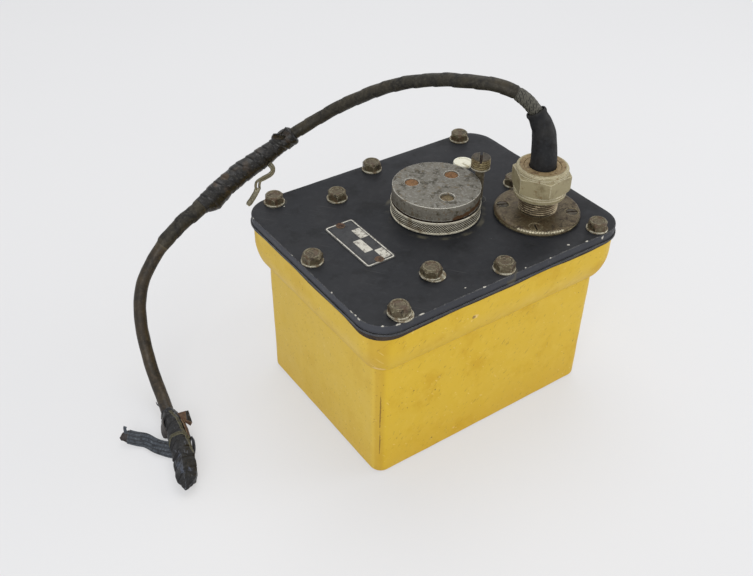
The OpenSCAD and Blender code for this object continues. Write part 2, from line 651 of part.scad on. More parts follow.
module fuse_clips() color("#b59a52") for (x = [-1, 1])
  translate([fuse_at.x + x * (fuse_l / 2 - 3), fuse_at.y, board_top]) difference() {
    translate([-2, -4.5, 0]) cube([4, 9, 8]);
    translate([0, 0, 6]) rotate([0, 90, 0])
      cylinder(d = 6.6 + 2 * fit, h = 20, center = true, $fn = 32);
  }

// ---- cells ----
module at_cells() for (i = [0:cell_count - 1])
  translate([(i - (cell_count - 1) / 2) * cell_pitch, 0, 0]) children();
module both_posts() for (y = [-1, 1]) translate([0, y * post_y, 0]) children();
plate_pitch = (jar_l - 2 * jar_wall) / plate_count;
plate_top = plates_z + plate_h;
module cell_jars() color("#2c2c30") at_cells() difference() {
  translate([0, 0, cells_z]) slab(jar_l, jar_w, 3, jar_h);
  translate([0, 0, cells_z + jar_wall])
    slab(jar_l - 2 * jar_wall, jar_w - 2 * jar_wall, 1.5, jar_h);
}
module cell_tops() color("#3a3a40") at_cells() difference() {
  union() {
    translate([0, 0, cell_top_z]) slab(jar_l, jar_w, 3, cell_top_t);
    translate([0, 0, cell_top_z - 3])
      slab(jar_l - 2 * jar_wall - 2 * push, jar_w - 2 * jar_wall - 2 * push, 1.5, 3.5);
  }
  both_posts() cylinder(d = post_d + 2 * fit, h = 200);
  cylinder(d = 10 + 2 * fit, h = 200);
}
module cell_plates() color("#5b5d60") at_cells() for (side = [0, 1]) {
  for (k = [0:plate_count - 1]) if (k % 2 == side)
    translate([(k - (plate_count - 1) / 2) * plate_pitch, 0, 0]) {
      translate([-plate_t / 2, -jar_w / 2 + 5, plates_z]) cube([plate_t, jar_w - 10, plate_h]);
      translate([-plate_t / 2, (2 * side - 1) * post_y - 6, plate_top - 1])
        cube([plate_t, 12, 3]);
    }
  translate([-jar_l / 2 + jar_wall + 2, (2 * side - 1) * post_y - 6, plate_top + 1.5])
    cube([jar_l - 2 * jar_wall - 4, 12, strap_h]);
}
module cell_separators() color("#c8bfa0") at_cells() for (k = [1:plate_count - 1])
  translate([(k - plate_count / 2) * plate_pitch - 0.4, -jar_w / 2 + 3.5, plates_z - 1])
    cube([0.8, jar_w - 7, plate_h + 1.5]);
module cell_posts() color("#8d8f92") at_cells() both_posts()
  translate([0, 0, plate_top + 1.5 + strap_h])
    cylinder(d = post_d, h = post_z + 7 - plate_top - 1.5 - strap_h);
module cell_vents() color("#b0452f") at_cells() translate([0, 0, post_z]) {
  difference() {
    cylinder(d = 15, h = 3);
    translate([-10, -0.8, 2]) cube([20, 1.6, 2]);
  }
  translate([0, 0, -cell_top_t - 2]) cylinder(d = 10, h = cell_top_t + 2.5);
}
module link_places() for (i = [0:cell_count - 2]) translate([(i - (cell_count - 2) / 2) * cell_pitch,
  (i % 2 == 0 ? 1 : -1) * post_y, 0]) children();
module cell_links() color("#9a9c9f") link_places() difference() {
  translate([0, 0, post_z]) slab(cell_pitch + 14, 14, 6.9, link_t);
  for (x = [-1, 1]) translate([x * cell_pitch / 2, 0, 0]) cylinder(d = post_d + 2 * fit, h = 200);
}
module post_nuts() color("#b59a52") at_cells() both_posts() difference() {
  translate([0, 0, post_z + link_t]) hexagon(11, 4);
  cylinder(d = post_d + 2 * fit, h = 200);
}
module lead_lug(turn) translate([0, 0, post_z]) rotate(turn) difference() {
  union() {
    cylinder(d = 12, h = link_t);
    translate([0, -2, 0]) cube([10, 4, link_t]);
  }
  translate([0, 0, -1]) cylinder(d = post_d + 2 * fit, h = 10);
}
module cell_leads() color("#7c2f28") {
  translate([-cell_pitch, -post_y, 0]) lead_lug(180);
  translate([cell_pitch, post_y, 0]) lead_lug(90);
  sweep([[-cell_pitch - 9, -post_y, post_z + 1], [-cell_pitch - 12, -post_y, post_z + 4],
    [-cell_pitch - 11, -post_y, board_top], [-cell_pitch, -post_y + 1, board_top + 4],
    [-cell_pitch / 2 - 16, -terminal_y, board_top + 3.6], [-32, -terminal_y, board_top + 3.6]],
    same(1.4, 6), 0, 5, 8);
  sweep([[cell_pitch, post_y + 9, post_z + 1], [cell_pitch, post_y + 9.2, post_z + 4],
    [cell_pitch, post_y + 5, board_z - 1], [cell_pitch - 1, post_y + 3.5, board_top + 3],
    [cell_pitch / 2 + 18, terminal_y + 3, board_top + 3.6], [36, terminal_y + 3, board_top + 3.6]],
    same(1.4, 6), 0, 5, 8);
}
module base_pad() color("#3a3a3a") translate([0, 0, floor_t])
  slab(room_l - 1, room_w - 1, room_r, cells_z - floor_t);
module side_packing() color("#4a4a48") {
  for (x = [-1, 1]) translate([x * (room_l - packing_t) / 2 - packing_t / 2 + 0.1, -jar_w / 2 + 4,
    cells_z]) cube([packing_t - 0.2, jar_w - 8, jar_h]);
  for (y = [-1, 1]) translate([-room_l / 2 + 8, y * (room_w - packing_t) / 2 - packing_t / 2 + 0.1,
    cells_z]) cube([room_l - 16, packing_t - 0.2, jar_h]);
}
module top_packing() color("#6a675c") for (y = [-1, 1])
  translate([board_mid - board_l / 2, y * (post_y - 18) - 5, post_z])
    cube([board_l - 6, 10, board_z - post_z]);

case();
case_inserts();
lid();
lid_backing();
lid_gasket();
edge_bolts();
inner_bolts();
bolt_washers();
packing_washers();
data_plate();
plate_rivets();
blank_plug();
cap_disc();
cap_ring();
cap_screws();
cap_liner();
cap_seal();
socket_neck();
socket_insulator();
socket_contacts();
lock_screw();
lock_washer();
lock_bush();
gland_body();
gland_gasket();
gland_screws();
gland_nut();
gland_slip_ring();
gland_seal();
cable_boot();
cable_upper();
cable_splice();
splice_hook();
cable_lower();
cable_stump();
stump_clip();
tape_tail();
cable_tail();
cable_cores();
terminal_board();
board_pillars();
board_screws();
board_terminals();
fuse();
fuse_clips();
cell_jars();
cell_tops();
cell_plates();
cell_separators();
cell_posts();
cell_vents();
cell_links();
post_nuts();
cell_leads();
base_pad();
side_packing();
top_packing();
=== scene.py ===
import math

import bmesh
import bpy
import numpy as np
from mathutils import Matrix, Vector, noise


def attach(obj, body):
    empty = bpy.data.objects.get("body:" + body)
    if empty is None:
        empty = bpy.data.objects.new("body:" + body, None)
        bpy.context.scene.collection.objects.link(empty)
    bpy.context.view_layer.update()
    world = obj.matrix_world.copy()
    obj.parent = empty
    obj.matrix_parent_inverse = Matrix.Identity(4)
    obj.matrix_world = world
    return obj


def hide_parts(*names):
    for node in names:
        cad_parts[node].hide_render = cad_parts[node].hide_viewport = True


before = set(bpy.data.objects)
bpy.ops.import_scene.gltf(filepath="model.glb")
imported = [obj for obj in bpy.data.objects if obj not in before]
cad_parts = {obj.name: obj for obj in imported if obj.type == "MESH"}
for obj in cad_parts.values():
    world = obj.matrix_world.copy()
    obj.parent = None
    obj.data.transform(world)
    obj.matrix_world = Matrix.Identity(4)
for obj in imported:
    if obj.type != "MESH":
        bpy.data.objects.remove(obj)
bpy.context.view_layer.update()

# All lengths below are in millimetres unless a name or comment says metres.
MM = 0.001
TAU = 2 * math.pi

# ---------------------------------------------------------------- sizes and places

CASE_H, BACKING_Z, LID_Z, TOP = 118.8, 120.0, 122.0, 127.0  # heights over the floor
BACKING_TOP = LID_Z - 0.6
HALF_L, HALF_W, CORNER_R = 95.0, 74.5, 18.0
COLLAR_Z, COLLAR_ROUND, COLLAR_IN, WALL_IN = 87.3, 19.5, 1.0, 9.5
ROOM = (81.5, 61, 4)  # half length, half width and corner radius of the room in the case
ROOM_FLOOR = 4
EDGE_BOLTS = [(-74.7, 67.5), (-74.7, -67.5), (74.7, -67.5), (74.7, 67.5), (0, 67.5), (0, -67.5),
              (-88, 0)]
INNER_BOLTS = [(-39.2, 49.4), (-39.2, -49.4), (66.6, 0.6)]
# the bolts with a loose washer under them, and how far off centre it lies
PACKED = {(-74.7, -67.5): (0.9, -1.4), (-39.2, -49.4): (1.6, -1.0)}
SHANK_R, BOLT_HOLE, INSERT_HOLE, SCREW_HOLE = 3.0, 3.3, 4.52, 1.95
WASHER_T, PACKING_T, WASHER_R = 1.2, 1.0, 6.7
CAP_AT, LOCK_AT, GLAND_AT, PLUG_AT = (4.0, 3.0), (35.4, -0.6), (55.6, -33.9), (55.6, 39.0)
CAP_TOP = TOP + 19.6
LOCK_HEAD = TOP + 24.0
PLATE_AT = (-54.9, 0.4)
RIVETS = [(-54.9, 21.2), (-54.9, -20.4)]
FLANGE_CIRCLE, CAP_CIRCLE = 21.5, 15.5  # radius of the circles that the screws stand on
LOCK_PITCH, GLAND_PITCH = 1.0, 1.5
KNURLS, LOCK_TEETH = 104, 44
LOCK_SLOT_TURN, NUT_TURN, NUT_FLATS = math.radians(48), math.radians(4), 32.0

# ---------------------------------------------------------------- camera

CAMERA_AT = (-0.31129, -0.38099, 0.44729)  # metres
CAMERA_RIGHT = (0.82227, -0.56896, 0.01244)
CAMERA_UP = (0.33925, 0.50762, 0.79198)
CAMERA_BACK = (-0.45692, -0.64700, 0.61042)
LENS, SENSOR = 44.815, 36
NEAREST = 0.01  # metres


def new_object(name, data):
    """A Blender object, put into the scene."""
    made = bpy.data.objects.new(name, data)
    bpy.context.scene.collection.objects.link(made)
    return made


def make_camera():
    """The camera, turned by the three directions that it stands in."""
    data = bpy.data.cameras.new("camera")
    data.lens = LENS
    data.sensor_width = SENSOR
    data.clip_start = NEAREST
    camera = new_object("camera", data)
    columns = Matrix((CAMERA_RIGHT, CAMERA_UP, CAMERA_BACK)).transposed().to_4x4()
    camera.matrix_world = Matrix.Translation(CAMERA_AT) @ columns
    bpy.context.scene.camera = camera


make_camera()

# ---------------------------------------------------------------- small tools for shapes


def lumps(point, size, seed=0.0):
    """Smooth noise from about -1 to 1, with lumps of about that size."""
    return noise.noise(Vector(point) / size + Vector((seed, 2.7 * seed, -1.3 * seed)))


def bell(off, width):
    """A smooth bump: 1 where off is 0, and nearly 0 at twice the width."""
    return math.exp(-((off / width) ** 2))


def around(angle, reach, height):
    """A point for noise that follows the outside of a round piece."""
    return reach * math.cos(angle), reach * math.sin(angle), height


def on_circle(centre, radius, angle):
    """The point at that angle on a circle."""
    return centre[0] + radius * math.cos(angle), centre[1] + radius * math.sin(angle)


def smooth_step(value, low, high):
    """Eases from 0 to 1 while the value goes from low to high."""
    share = min(max((value - low) / (high - low), 0.0), 1.0)
    return share * share * (3 - 2 * share)


class Shape:
    """Points and faces of one piece, gathered solid by solid."""

    def __init__(self):
        self.points = []
        self.faces = []
        self.paint = []
        self.marks = {}

    def skin(self, rings, paint=0, ends=True, joined=False, marks=None):
        """Covers rings of equal length with faces; the ends are closed, or joined to each other."""
        first = len(self.points)
        count = len(rings[0])
        for ring in rings:
            self.points.extend(ring)
        pairs = [(i, i + 1) for i in range(len(rings) - 1)]
        if joined:
            pairs.append((len(rings) - 1, 0))
        for a, b in pairs:
            for k in range(count):
                n = (k + 1) % count
                corners = (a * count + k, a * count + n, b * count + n, b * count + k)
                self.faces.append([first + c for c in corners])
                self.paint.append(paint)
        if ends and not joined:
            self.faces.append([first + k for k in reversed(range(count))])
            self.faces.append([first + (len(rings) - 1) * count + k for k in range(count)])
            self.paint.extend((paint, paint))
        for name in set(self.marks) | set(marks or {}):
            kept = self.marks.setdefault(name, [])
            kept.extend([0.0] * (first - len(kept)))
            kept.extend((marks or {}).get(name, [0.0] * (count * len(rings))))

    def paint_rings(self, count, paint_of):
        """Paints each face by the number of its ring, where every ring has that many faces."""
        self.paint = [int(paint_of(number // count)) for number in range(len(self.faces))]

    def mesh(self, name, finishes):
        """The Blender mesh, with its faces turned outwards."""
        mesh = bpy.data.meshes.new(name)
        mesh.from_pydata([tuple(float(c) * MM for c in p) for p in self.points], [], self.faces)
        for finish in finishes:
            mesh.materials.append(finish)
        mesh.polygons.foreach_set("material_index", self.paint)
        work = bmesh.new()
        work.from_mesh(mesh)
        bmesh.ops.recalc_face_normals(work, faces=work.faces)
        work.to_mesh(mesh)
        work.free()
        return mesh

    def piece(self, name, finish, body, stands_for, slot, crease):
        """Makes the Blender object, on its body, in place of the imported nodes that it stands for."""
        mesh = self.mesh(name, finish if isinstance(finish, list) else [finish])
        for mark, values in self.marks.items():
            values = list(values) + [0.0] * (len(self.points) - len(values))
            mesh.attributes.new(mark, "FLOAT", "POINT").data.foreach_set("value", values)
        soften(mesh, crease)
        piece = new_object(name, mesh)
        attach(piece, body)
        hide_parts(*stands_for)
        return piece


def soften(mesh, crease):
    """Shades a mesh smooth, apart from edges sharper than that many degrees."""
    mesh.polygons.foreach_set("use_smooth", [True] * len(mesh.polygons))
    mesh.set_sharp_from_angle(angle=math.radians(crease))


def turned(profile, sides, centre, radius_at=None, start=0.0):
    """Rings of a turned piece: profile holds (radius, height) pairs."""
    rings = []
    for radius, height in profile:
        ring = []
        for k in range(sides):
            angle = TAU * k / sides + start
            r = radius if radius_at is None else radius_at(radius, height, angle)
            ring.append((*on_circle(centre, r, angle), height))
        rings.append(ring)
    return rings


def raised(base, profile):
    """The profile with its heights counted from the base."""
    return [(radius, base + height) for radius, height in profile]


def hexagon_radius(angle, flats, turn):
    """Distance from the middle of a hexagon to its edge; flats is its width across them."""
    sixth = math.pi / 3
    from_flat = (angle - turn) % sixth - sixth / 2
    return flats / 2 / math.cos(from_flat)


def rounded_outline(half_l, half_w, radius, height, corner_steps=12, long_steps=48, short_steps=36):
    """A rectangle with round corners, as one ring of points."""
    ring = []
    corners = [(1, 1, 0), (-1, 1, 1), (-1, -1, 2), (1, -1, 3)]
    for place, (sx, sy, quarter) in enumerate(corners):
        cx, cy = sx * (half_l - radius), sy * (half_w - radius)
        for k in range(corner_steps + 1):
            angle = (quarter + k / corner_steps) * math.pi / 2
            ring.append((*on_circle((cx, cy), radius, angle), height))
        nx, ny, next_quarter = corners[(place + 1) % 4]
        end_angle = next_quarter * math.pi / 2
        start = np.array(ring[-1][:2])
        end = np.array((nx * (half_l - radius), ny * (half_w - radius)))
        end = end + radius * np.array((math.cos(end_angle), math.sin(end_angle)))
        steps = long_steps if quarter in (0, 2) else short_steps
        for k in range(1, steps):
            x, y = start + (end - start) * k / steps
            ring.append((x, y, height))
    return ring


def smooth_line(points, spacing):
    """A smooth curve through the points: places, distances, and the distance at each given point."""
    points = np.array(points, float)
    padded = np.vstack((2 * points[0] - points[1], points, 2 * points[-1] - points[-2]))
    places, given = [], []
    for i in range(1, len(padded) - 2):
        p0, p1, p2, p3 = padded[i - 1 : i + 3]
        steps = max(2, int(round(np.linalg.norm(p2 - p1) / spacing)))
        given.append(len(places))
        for k in range(steps):
            t = k / steps
            a = 2 * p1 + (p2 - p0) * t + (2 * p0 - 5 * p1 + 4 * p2 - p3) * t * t
            places.append(0.5 * (a + (3 * p1 - p0 - 3 * p2 + p3) * t ** 3))
    given.append(len(places))
    places.append(points[-1])
    places = np.array(places)
    lengths = np.linalg.norm(np.diff(places, axis=0), axis=1)
    distance = np.concatenate(([0], np.cumsum(lengths)))
    return places, distance, distance[given]


def frames_along(places, side=(1, 0, 0)):
    """For each place on a line, the two directions across it, without twist."""
    ahead = np.gradient(places, axis=0)
    ahead /= np.linalg.norm(ahead, axis=1)[:, None]
    side = np.array(side, float)
    sides = []
    for direction in ahead:
        side = side - direction * side.dot(direction)
        side = side / np.linalg.norm(side)
        sides.append(side)
    sides = np.array(sides)
    return sides, np.cross(ahead, sides)


def tube_rings(places, radius_at, sides):
    """Rings along a line; radius_at(index, angle) gives the radius."""
    across, up = frames_along(places)
    rings = []
    for i, place in enumerate(places):
        ring = []
        for k in range(sides):
            angle = TAU * k / sides
            r = radius_at(i, angle)
            ring.append(place + r * (math.cos(angle) * across[i] + math.sin(angle) * up[i]))
        rings.append(ring)
    return rings

# ---------------------------------------------------------------- small tools for finishes


def give(tree, socket, value):
    """Sets a socket, or links it where the value is a socket too."""
    if isinstance(value, bpy.types.NodeSocket):
        tree.links.new(value, socket)
    else:
        socket.default_value = value


def put(tree, kind, inputs=None, **settings):
    """Adds a node with those settings and inputs."""
    node = tree.nodes.new(kind)
    for name, value in settings.items():
        setattr(node, name, value)
    for name, value in (inputs or {}).items():
        give(tree, node.inputs[name], value)
    return node


def maths(tree, operation, a, b=0.0, clamp=False):
    """The value of one sum."""
    node = put(tree, "ShaderNodeMath", {0: a, 1: b}, operation=operation, use_clamp=clamp)
    return node.outputs[0]


def spread(tree, value, low, high, out_low=0.0, out_high=1.0):
    """Eases the value from out_low to out_high while it goes from low to high."""
    inputs = {"Value": value, "From Min": low, "From Max": high, "To Min": out_low, "To Max": out_high}
    return put(tree, "ShaderNodeMapRange", inputs, interpolation_type="SMOOTHSTEP").outputs[0]


def vectors(tree, operation, *inputs):
    """The outputs of one vector sum."""
    return put(tree, "ShaderNodeVectorMath", dict(enumerate(inputs)), operation=operation).outputs


def clouds(tree, place, scale, detail, roughness=0.5):
    """Soft noise from 0 to 1; the scale is the number of clouds in a millimetre."""
    inputs = {"Vector": place, "Scale": scale, "Detail": detail, "Roughness": roughness}
    return put(tree, "ShaderNodeTexNoise", inputs).outputs["Fac"]


def mark_on(tree, name):
    """A mark that the piece's mesh carries."""
    return put(tree, "ShaderNodeAttribute", attribute_name=name).outputs["Fac"]


def mixed(tree, share, a, b):
    """A colour between a and b."""
    inputs = {0: share, 6: a, 7: b}
    return put(tree, "ShaderNodeMix", inputs, data_type="RGBA").outputs[2]


def tinted(tree, base, mask, amount, shade):
    """The base colour with that amount of a shade where the mask is."""
    return mixed(tree, maths(tree, "MULTIPLY", mask, amount), base, shade)


def colour(red, green, blue):
    """A linear colour from the display values, 0 to 255."""
    def linear(value):
        share = value / 255
        return share / 12.92 if share <= 0.04045 else ((share + 0.055) / 1.055) ** 2.4
    return (linear(red), linear(green), linear(blue), 1.0)


def new_group(name, inputs, outputs):
    """A shader node group with named sockets; inputs give each socket's kind and first value."""
    group = bpy.data.node_groups.new(name, "ShaderNodeTree")
    for label, (kind, value) in inputs.items():
        socket = group.interface.new_socket(label, in_out="INPUT", socket_type="NodeSocket" + kind)
        if value is not None:
            socket.default_value = value
    for label, kind in outputs.items():
        group.interface.new_socket(label, in_out="OUTPUT", socket_type="NodeSocket" + kind)
    source = group.nodes.new("NodeGroupInput")
    sink = group.nodes.new("NodeGroupOutput")
    return group, source.outputs, sink.inputs


def place_group(tree, group, **inputs):
    """Puts a group into a material; inputs are named after its sockets."""
    node = put(tree, "ShaderNodeGroup", node_tree=group)
    for name, value in inputs.items():
        give(tree, node.inputs[name.replace("_", " ").capitalize()], value)
    return node.outputs


def make_places_group():
    """Where a point of the surface is, in millimetres, on the piece itself."""
    group, _, out = new_group("places in millimetres", {}, {"Place": "Vector"})
    where = put(group, "ShaderNodeTexCoord").outputs["Object"]
    scaled = vectors(group, "MULTIPLY", where, (1 / MM, 1 / MM, 1 / MM))
    group.links.new(scaled["Vector"], out["Place"])
    return group


def make_mottle_group():
    """Cloudy variation between three colours."""
    group, given, out = new_group(
        "mottle",
        {"Place": ("Vector", None), "Size": ("Float", 10.0), "Contrast": ("Float", 1.0),
         "Light": ("Color", None), "Middle": ("Color", None), "Dark": ("Color", None)},
        {"Colour": "Color", "Height": "Float"})
    scale = maths(group, "DIVIDE", 1.0, given["Size"])
    broad = clouds(group, given["Place"], scale, 5.0, 0.62)
    fine = clouds(group, given["Place"], maths(group, "MULTIPLY", scale, 3.7), 3.0, 0.6)
    width = maths(group, "MULTIPLY", given["Contrast"], 0.5)
    low = maths(group, "SUBTRACT", 0.5, maths(group, "DIVIDE", 0.14, given["Contrast"]))
    high = maths(group, "ADD", 0.5, maths(group, "DIVIDE", 0.14, given["Contrast"]))
    darker = spread(group, broad, low, 0.5, 1.0, 0.0)
    lighter = spread(group, fine, 0.5, high)
    base = mixed(group, darker, given["Middle"], given["Dark"])
    share = maths(group, "MULTIPLY", lighter, width, clamp=True)
    group.links.new(mixed(group, share, base, given["Light"]), out["Colour"])
    total = maths(group, "ADD", broad, maths(group, "MULTIPLY", fine, 0.4))
    group.links.new(total, out["Height"])
    return group


def make_edge_group():
    """Where an edge is rubbed, broken up by noise; the reach is in metres."""
    group, given, out = new_group(
        "edge wear",
        {"Place": ("Vector", None), "Reach": ("Float", 0.0006), "Grain": ("Float", 2.0),
         "Amount": ("Float", 0.5)},
        {"Mask": "Float"})
    bevel = put(group, "ShaderNodeBevel", {"Radius": given["Reach"]}, samples=4)
    normal = put(group, "ShaderNodeNewGeometry").outputs["Normal"]
    likeness = vectors(group, "DOT_PRODUCT", bevel.outputs[0], normal)["Value"]
    turn = maths(group, "SUBTRACT", 1.0, likeness)
    scale = maths(group, "DIVIDE", 1.0, given["Grain"])
    patches = clouds(group, given["Place"], scale, 4.0, 0.7)
    wanted = maths(group, "SUBTRACT", 0.85, maths(group, "MULTIPLY", given["Amount"], 0.6))
    level = maths(group, "SUBTRACT", wanted, maths(group, "MULTIPLY", turn, 3.0))
    low = maths(group, "SUBTRACT", level, 0.06)
    high = maths(group, "ADD", level, 0.06)
    share = spread(group, patches, low, high)
    near = spread(group, turn, 0.004, 0.03)
    group.links.new(maths(group, "MULTIPLY", share, near), out["Mask"])
    return group


def make_fleck_group():
    """Scattered small specks."""
    group, given, out = new_group(
        "flecks",
        {"Place": ("Vector", None), "Spacing": ("Float", 3.0), "Size": ("Float", 0.2),
         "Share": ("Float", 0.4)},
        {"Mask": "Float"})
    scale = maths(group, "DIVIDE", 1.0, given["Spacing"])
    bend_scale = maths(group, "MULTIPLY", scale, 1.7)
    bend = put(group, "ShaderNodeTexNoise", {"Vector": given["Place"], "Scale": bend_scale}).outputs["Color"]
    shifted = vectors(group, "MULTIPLY_ADD", bend, (1.2, 1.2, 1.2), given["Place"])["Vector"]
    cells = put(group, "ShaderNodeTexVoronoi", {"Vector": shifted, "Scale": scale})
    chosen = put(group, "ShaderNodeSeparateColor", {0: cells.outputs["Color"]}).outputs[0]
    kept = maths(group, "LESS_THAN", chosen, given["Share"])
    reach = maths(group, "MULTIPLY", given["Size"], maths(group, "ADD", chosen, 0.5))
    spot = spread(group, cells.outputs["Distance"], maths(group, "MULTIPLY", reach, 0.6), reach, 1.0, 0.0)
    group.links.new(maths(group, "MULTIPLY", spot, kept), out["Mask"])
    return group


def make_scratch_group():
    """Short rubbed lines that run one way."""
    group, given, out = new_group(
        "scratches",
        {"Place": ("Vector", None), "Turn": ("Vector", (0.0, 0.0, 0.0)), "Width": ("Float", 0.4),
         "Length": ("Float", 8.0), "Share": ("Float", 0.3)},
        {"Mask": "Float"})
    turned_place = put(group, "ShaderNodeVectorRotate",
                       {"Vector": given["Place"], "Rotation": given["Turn"]}, rotation_type="EULER_XYZ")
    across = maths(group, "DIVIDE", 1.0, given["Width"])
    along = maths(group, "DIVIDE", 1.0, given["Length"])
    stretch = put(group, "ShaderNodeCombineXYZ", {0: along, 1: across, 2: across})
    squeezed = vectors(group, "MULTIPLY", turned_place.outputs[0], stretch.outputs[0])["Vector"]
    streaks = clouds(group, squeezed, 0.35, 2.0)
    level = maths(group, "SUBTRACT", 0.78, maths(group, "MULTIPLY", given["Share"], 0.25))
    high = maths(group, "ADD", level, 0.06)
    group.links.new(spread(group, streaks, level, high), out["Mask"])
    return group


def make_dust_group():
    """Dust that settles on what faces up, and clings in patches."""
    group, given, out = new_group(
        "dust",
        {"Place": ("Vector", None), "Size": ("Float", 12.0), "Amount": ("Float", 0.4)},
        {"Mask": "Float"})
    normal = put(group, "ShaderNodeNewGeometry").outputs["Normal"]
    facing = put(group, "ShaderNodeSeparateXYZ", {0: normal}).outputs[2]
    upward = spread(group, facing, -0.3, 0.9, 0.35, 1.0)
    scale = maths(group, "DIVIDE", 1.0, given["Size"])
    patch = spread(group, clouds(group, given["Place"], scale, 6.0, 0.65), 0.35, 0.7)
    total = maths(group, "MULTIPLY", maths(group, "MULTIPLY", patch, upward), given["Amount"], clamp=True)
    group.links.new(total, out["Mask"])
    return group


def make_grain_group():
    """Fine unevenness of a surface, for a Bump node."""
    group, given, out = new_group(
        "grain",
        {"Place": ("Vector", None), "Size": ("Float", 0.6), "Waves": ("Float", 18.0),
         "Wave share": ("Float", 0.5)},
        {"Height": "Float"})
    scale = maths(group, "DIVIDE", 1.0, given["Size"])
    fine = clouds(group, given["Place"], scale, 3.0)
    waves = clouds(group, given["Place"], maths(group, "DIVIDE", 1.0, given["Waves"]), 1.0)
    wave_part = maths(group, "MULTIPLY", waves, given["Wave share"])
    group.links.new(maths(group, "ADD", fine, wave_part), out["Height"])
    return group


def make_spot_group():
    """One ragged spot at a fixed place; the size is half its reach along each axis."""
    group, given, out = new_group(
        "spot",
        {"Place": ("Vector", None), "Centre": ("Vector", None), "Size": ("Vector", (1.0, 1.0, 1.0)),
         "Cloud": ("Float", 0.5), "Ragged": ("Float", 1.0)},
        {"Mask": "Float"})
    off = vectors(group, "SUBTRACT", given["Place"], given["Centre"])["Vector"]
    scaled = vectors(group, "DIVIDE", off, given["Size"])["Vector"]
    length = vectors(group, "LENGTH", scaled)["Value"]
    uneven = maths(group, "MULTIPLY", maths(group, "SUBTRACT", given["Cloud"], 0.5), given["Ragged"])
    edge = maths(group, "ADD", length, uneven)
    group.links.new(spread(group, edge, 0.7, 1.0, 1.0, 0.0), out["Mask"])
    return group


def make_halo_group():
    """A ragged ring round an upright axis."""
    group, given, out = new_group(
        "halo",
        {"Place": ("Vector", None), "Centre": ("Vector", None), "Radius": ("Float", 10.0),
         "Width": ("Float", 1.0), "Cloud": ("Float", 0.5)},
        {"Mask": "Float"})
    off = vectors(group, "SUBTRACT", given["Place"], given["Centre"])["Vector"]
    level = vectors(group, "MULTIPLY", off, (1, 1, 0))["Vector"]
    length = vectors(group, "LENGTH", level)["Value"]
    away = maths(group, "ABSOLUTE", maths(group, "SUBTRACT", length, given["Radius"]))
    ring = spread(group, away, maths(group, "MULTIPLY", given["Width"], 0.3), given["Width"], 1.0, 0.0)
    broken = spread(group, given["Cloud"], 0.46, 0.72)
    group.links.new(maths(group, "MULTIPLY", ring, broken), out["Mask"])
    return group


PLACES = make_places_group()
MOTTLE = make_mottle_group()
EDGES = make_edge_group()
FLECKS = make_fleck_group()
SCRATCHES = make_scratch_group()
DUST = make_dust_group()
GRAIN = make_grain_group()
SPOT = make_spot_group()
HALO = make_halo_group()

# ---------------------------------------------------------------- finishes

BUMP_DEPTH = 0.0002  # metres


def mask_of(tree, group, place, **inputs):
    """The mask that a group puts on the piece."""
    return place_group(tree, group, place=place, **inputs)["Mask"]


def grain_of(tree, place, size, **inputs):
    """The height that the grain puts on the piece."""
    return place_group(tree, GRAIN, place=place, size=size, **inputs)["Height"]


def new_finish(name):
    """An empty material with its shader, and the place on the piece in millimetres."""
    finish = bpy.data.materials.new(name)
    finish.use_nodes = True
    tree = finish.node_tree
    tree.nodes.clear()
    shader = put(tree, "ShaderNodeBsdfPrincipled")
    out = put(tree, "ShaderNodeOutputMaterial")
    tree.links.new(shader.outputs[0], out.inputs["Surface"])
    place = place_group(tree, PLACES)["Place"]
    return finish, tree, shader, place


def set_shader(tree, shader, **values):
    """Sets or links the shader's own sockets."""
    for name, value in values.items():
        give(tree, shader.inputs[name.replace("_", " ")], value)


def bump(tree, height, strength):
    """A normal from a height."""
    inputs = {"Height": height, "Strength": strength, "Distance": BUMP_DEPTH}
    return put(tree, "ShaderNodeBump", inputs).outputs[0]


def mottled(tree, place, shades, size, contrast):
    """Cloudy variation between three shades: light, middle and dark, as display values."""
    light, middle, dark = (colour(*shade) for shade in shades)
    return place_group(tree, MOTTLE, place=place, size=size, contrast=contrast, light=light, middle=middle,
                       dark=dark)


def roughness_from(tree, mottle, rough, smooth):
    """Rough where the mottle is low, smooth where it is high."""
    return spread(tree, mottle["Height"], 0.4, 1.0, rough, smooth)


def worn(tree, place, base, bright, amount, grain=2.0, reach=0.0006):
    """The base colour with its rubbed edges showing the bright one; the reach is in metres."""
    edge = mask_of(tree, EDGES, place, amount=amount, grain=grain, reach=reach)
    return mixed(tree, edge, base, bright)


def spots(tree, place, marks, grain=1.2, ragged=1.6):
    """A mask of spots; each mark is (x, y, z, reach in x, reach in y, reach in z)."""
    cloud = clouds(tree, place, 1 / grain, 4.0)
    total = 0.0
    for x, y, z, wide, deep, tall in marks:
        mask = mask_of(tree, SPOT, place, centre=(x, y, z), size=(wide, deep, tall), cloud=cloud,
                       ragged=ragged)
        total = mask if total == 0.0 else maths(tree, "MAXIMUM", total, mask)
    return total


def halos(tree, place, rings, grain):
    """A mask of ragged rings; each is (x, y, radius, width)."""
    cloud = clouds(tree, place, 1 / grain, 4.0)
    total = 0.0
    for x, y, radius, width in rings:
        mask = mask_of(tree, HALO, place, centre=(x, y, 0), radius=radius, width=width, cloud=cloud)
        total = mask if total == 0.0 else maths(tree, "MAXIMUM", total, mask)
    return total


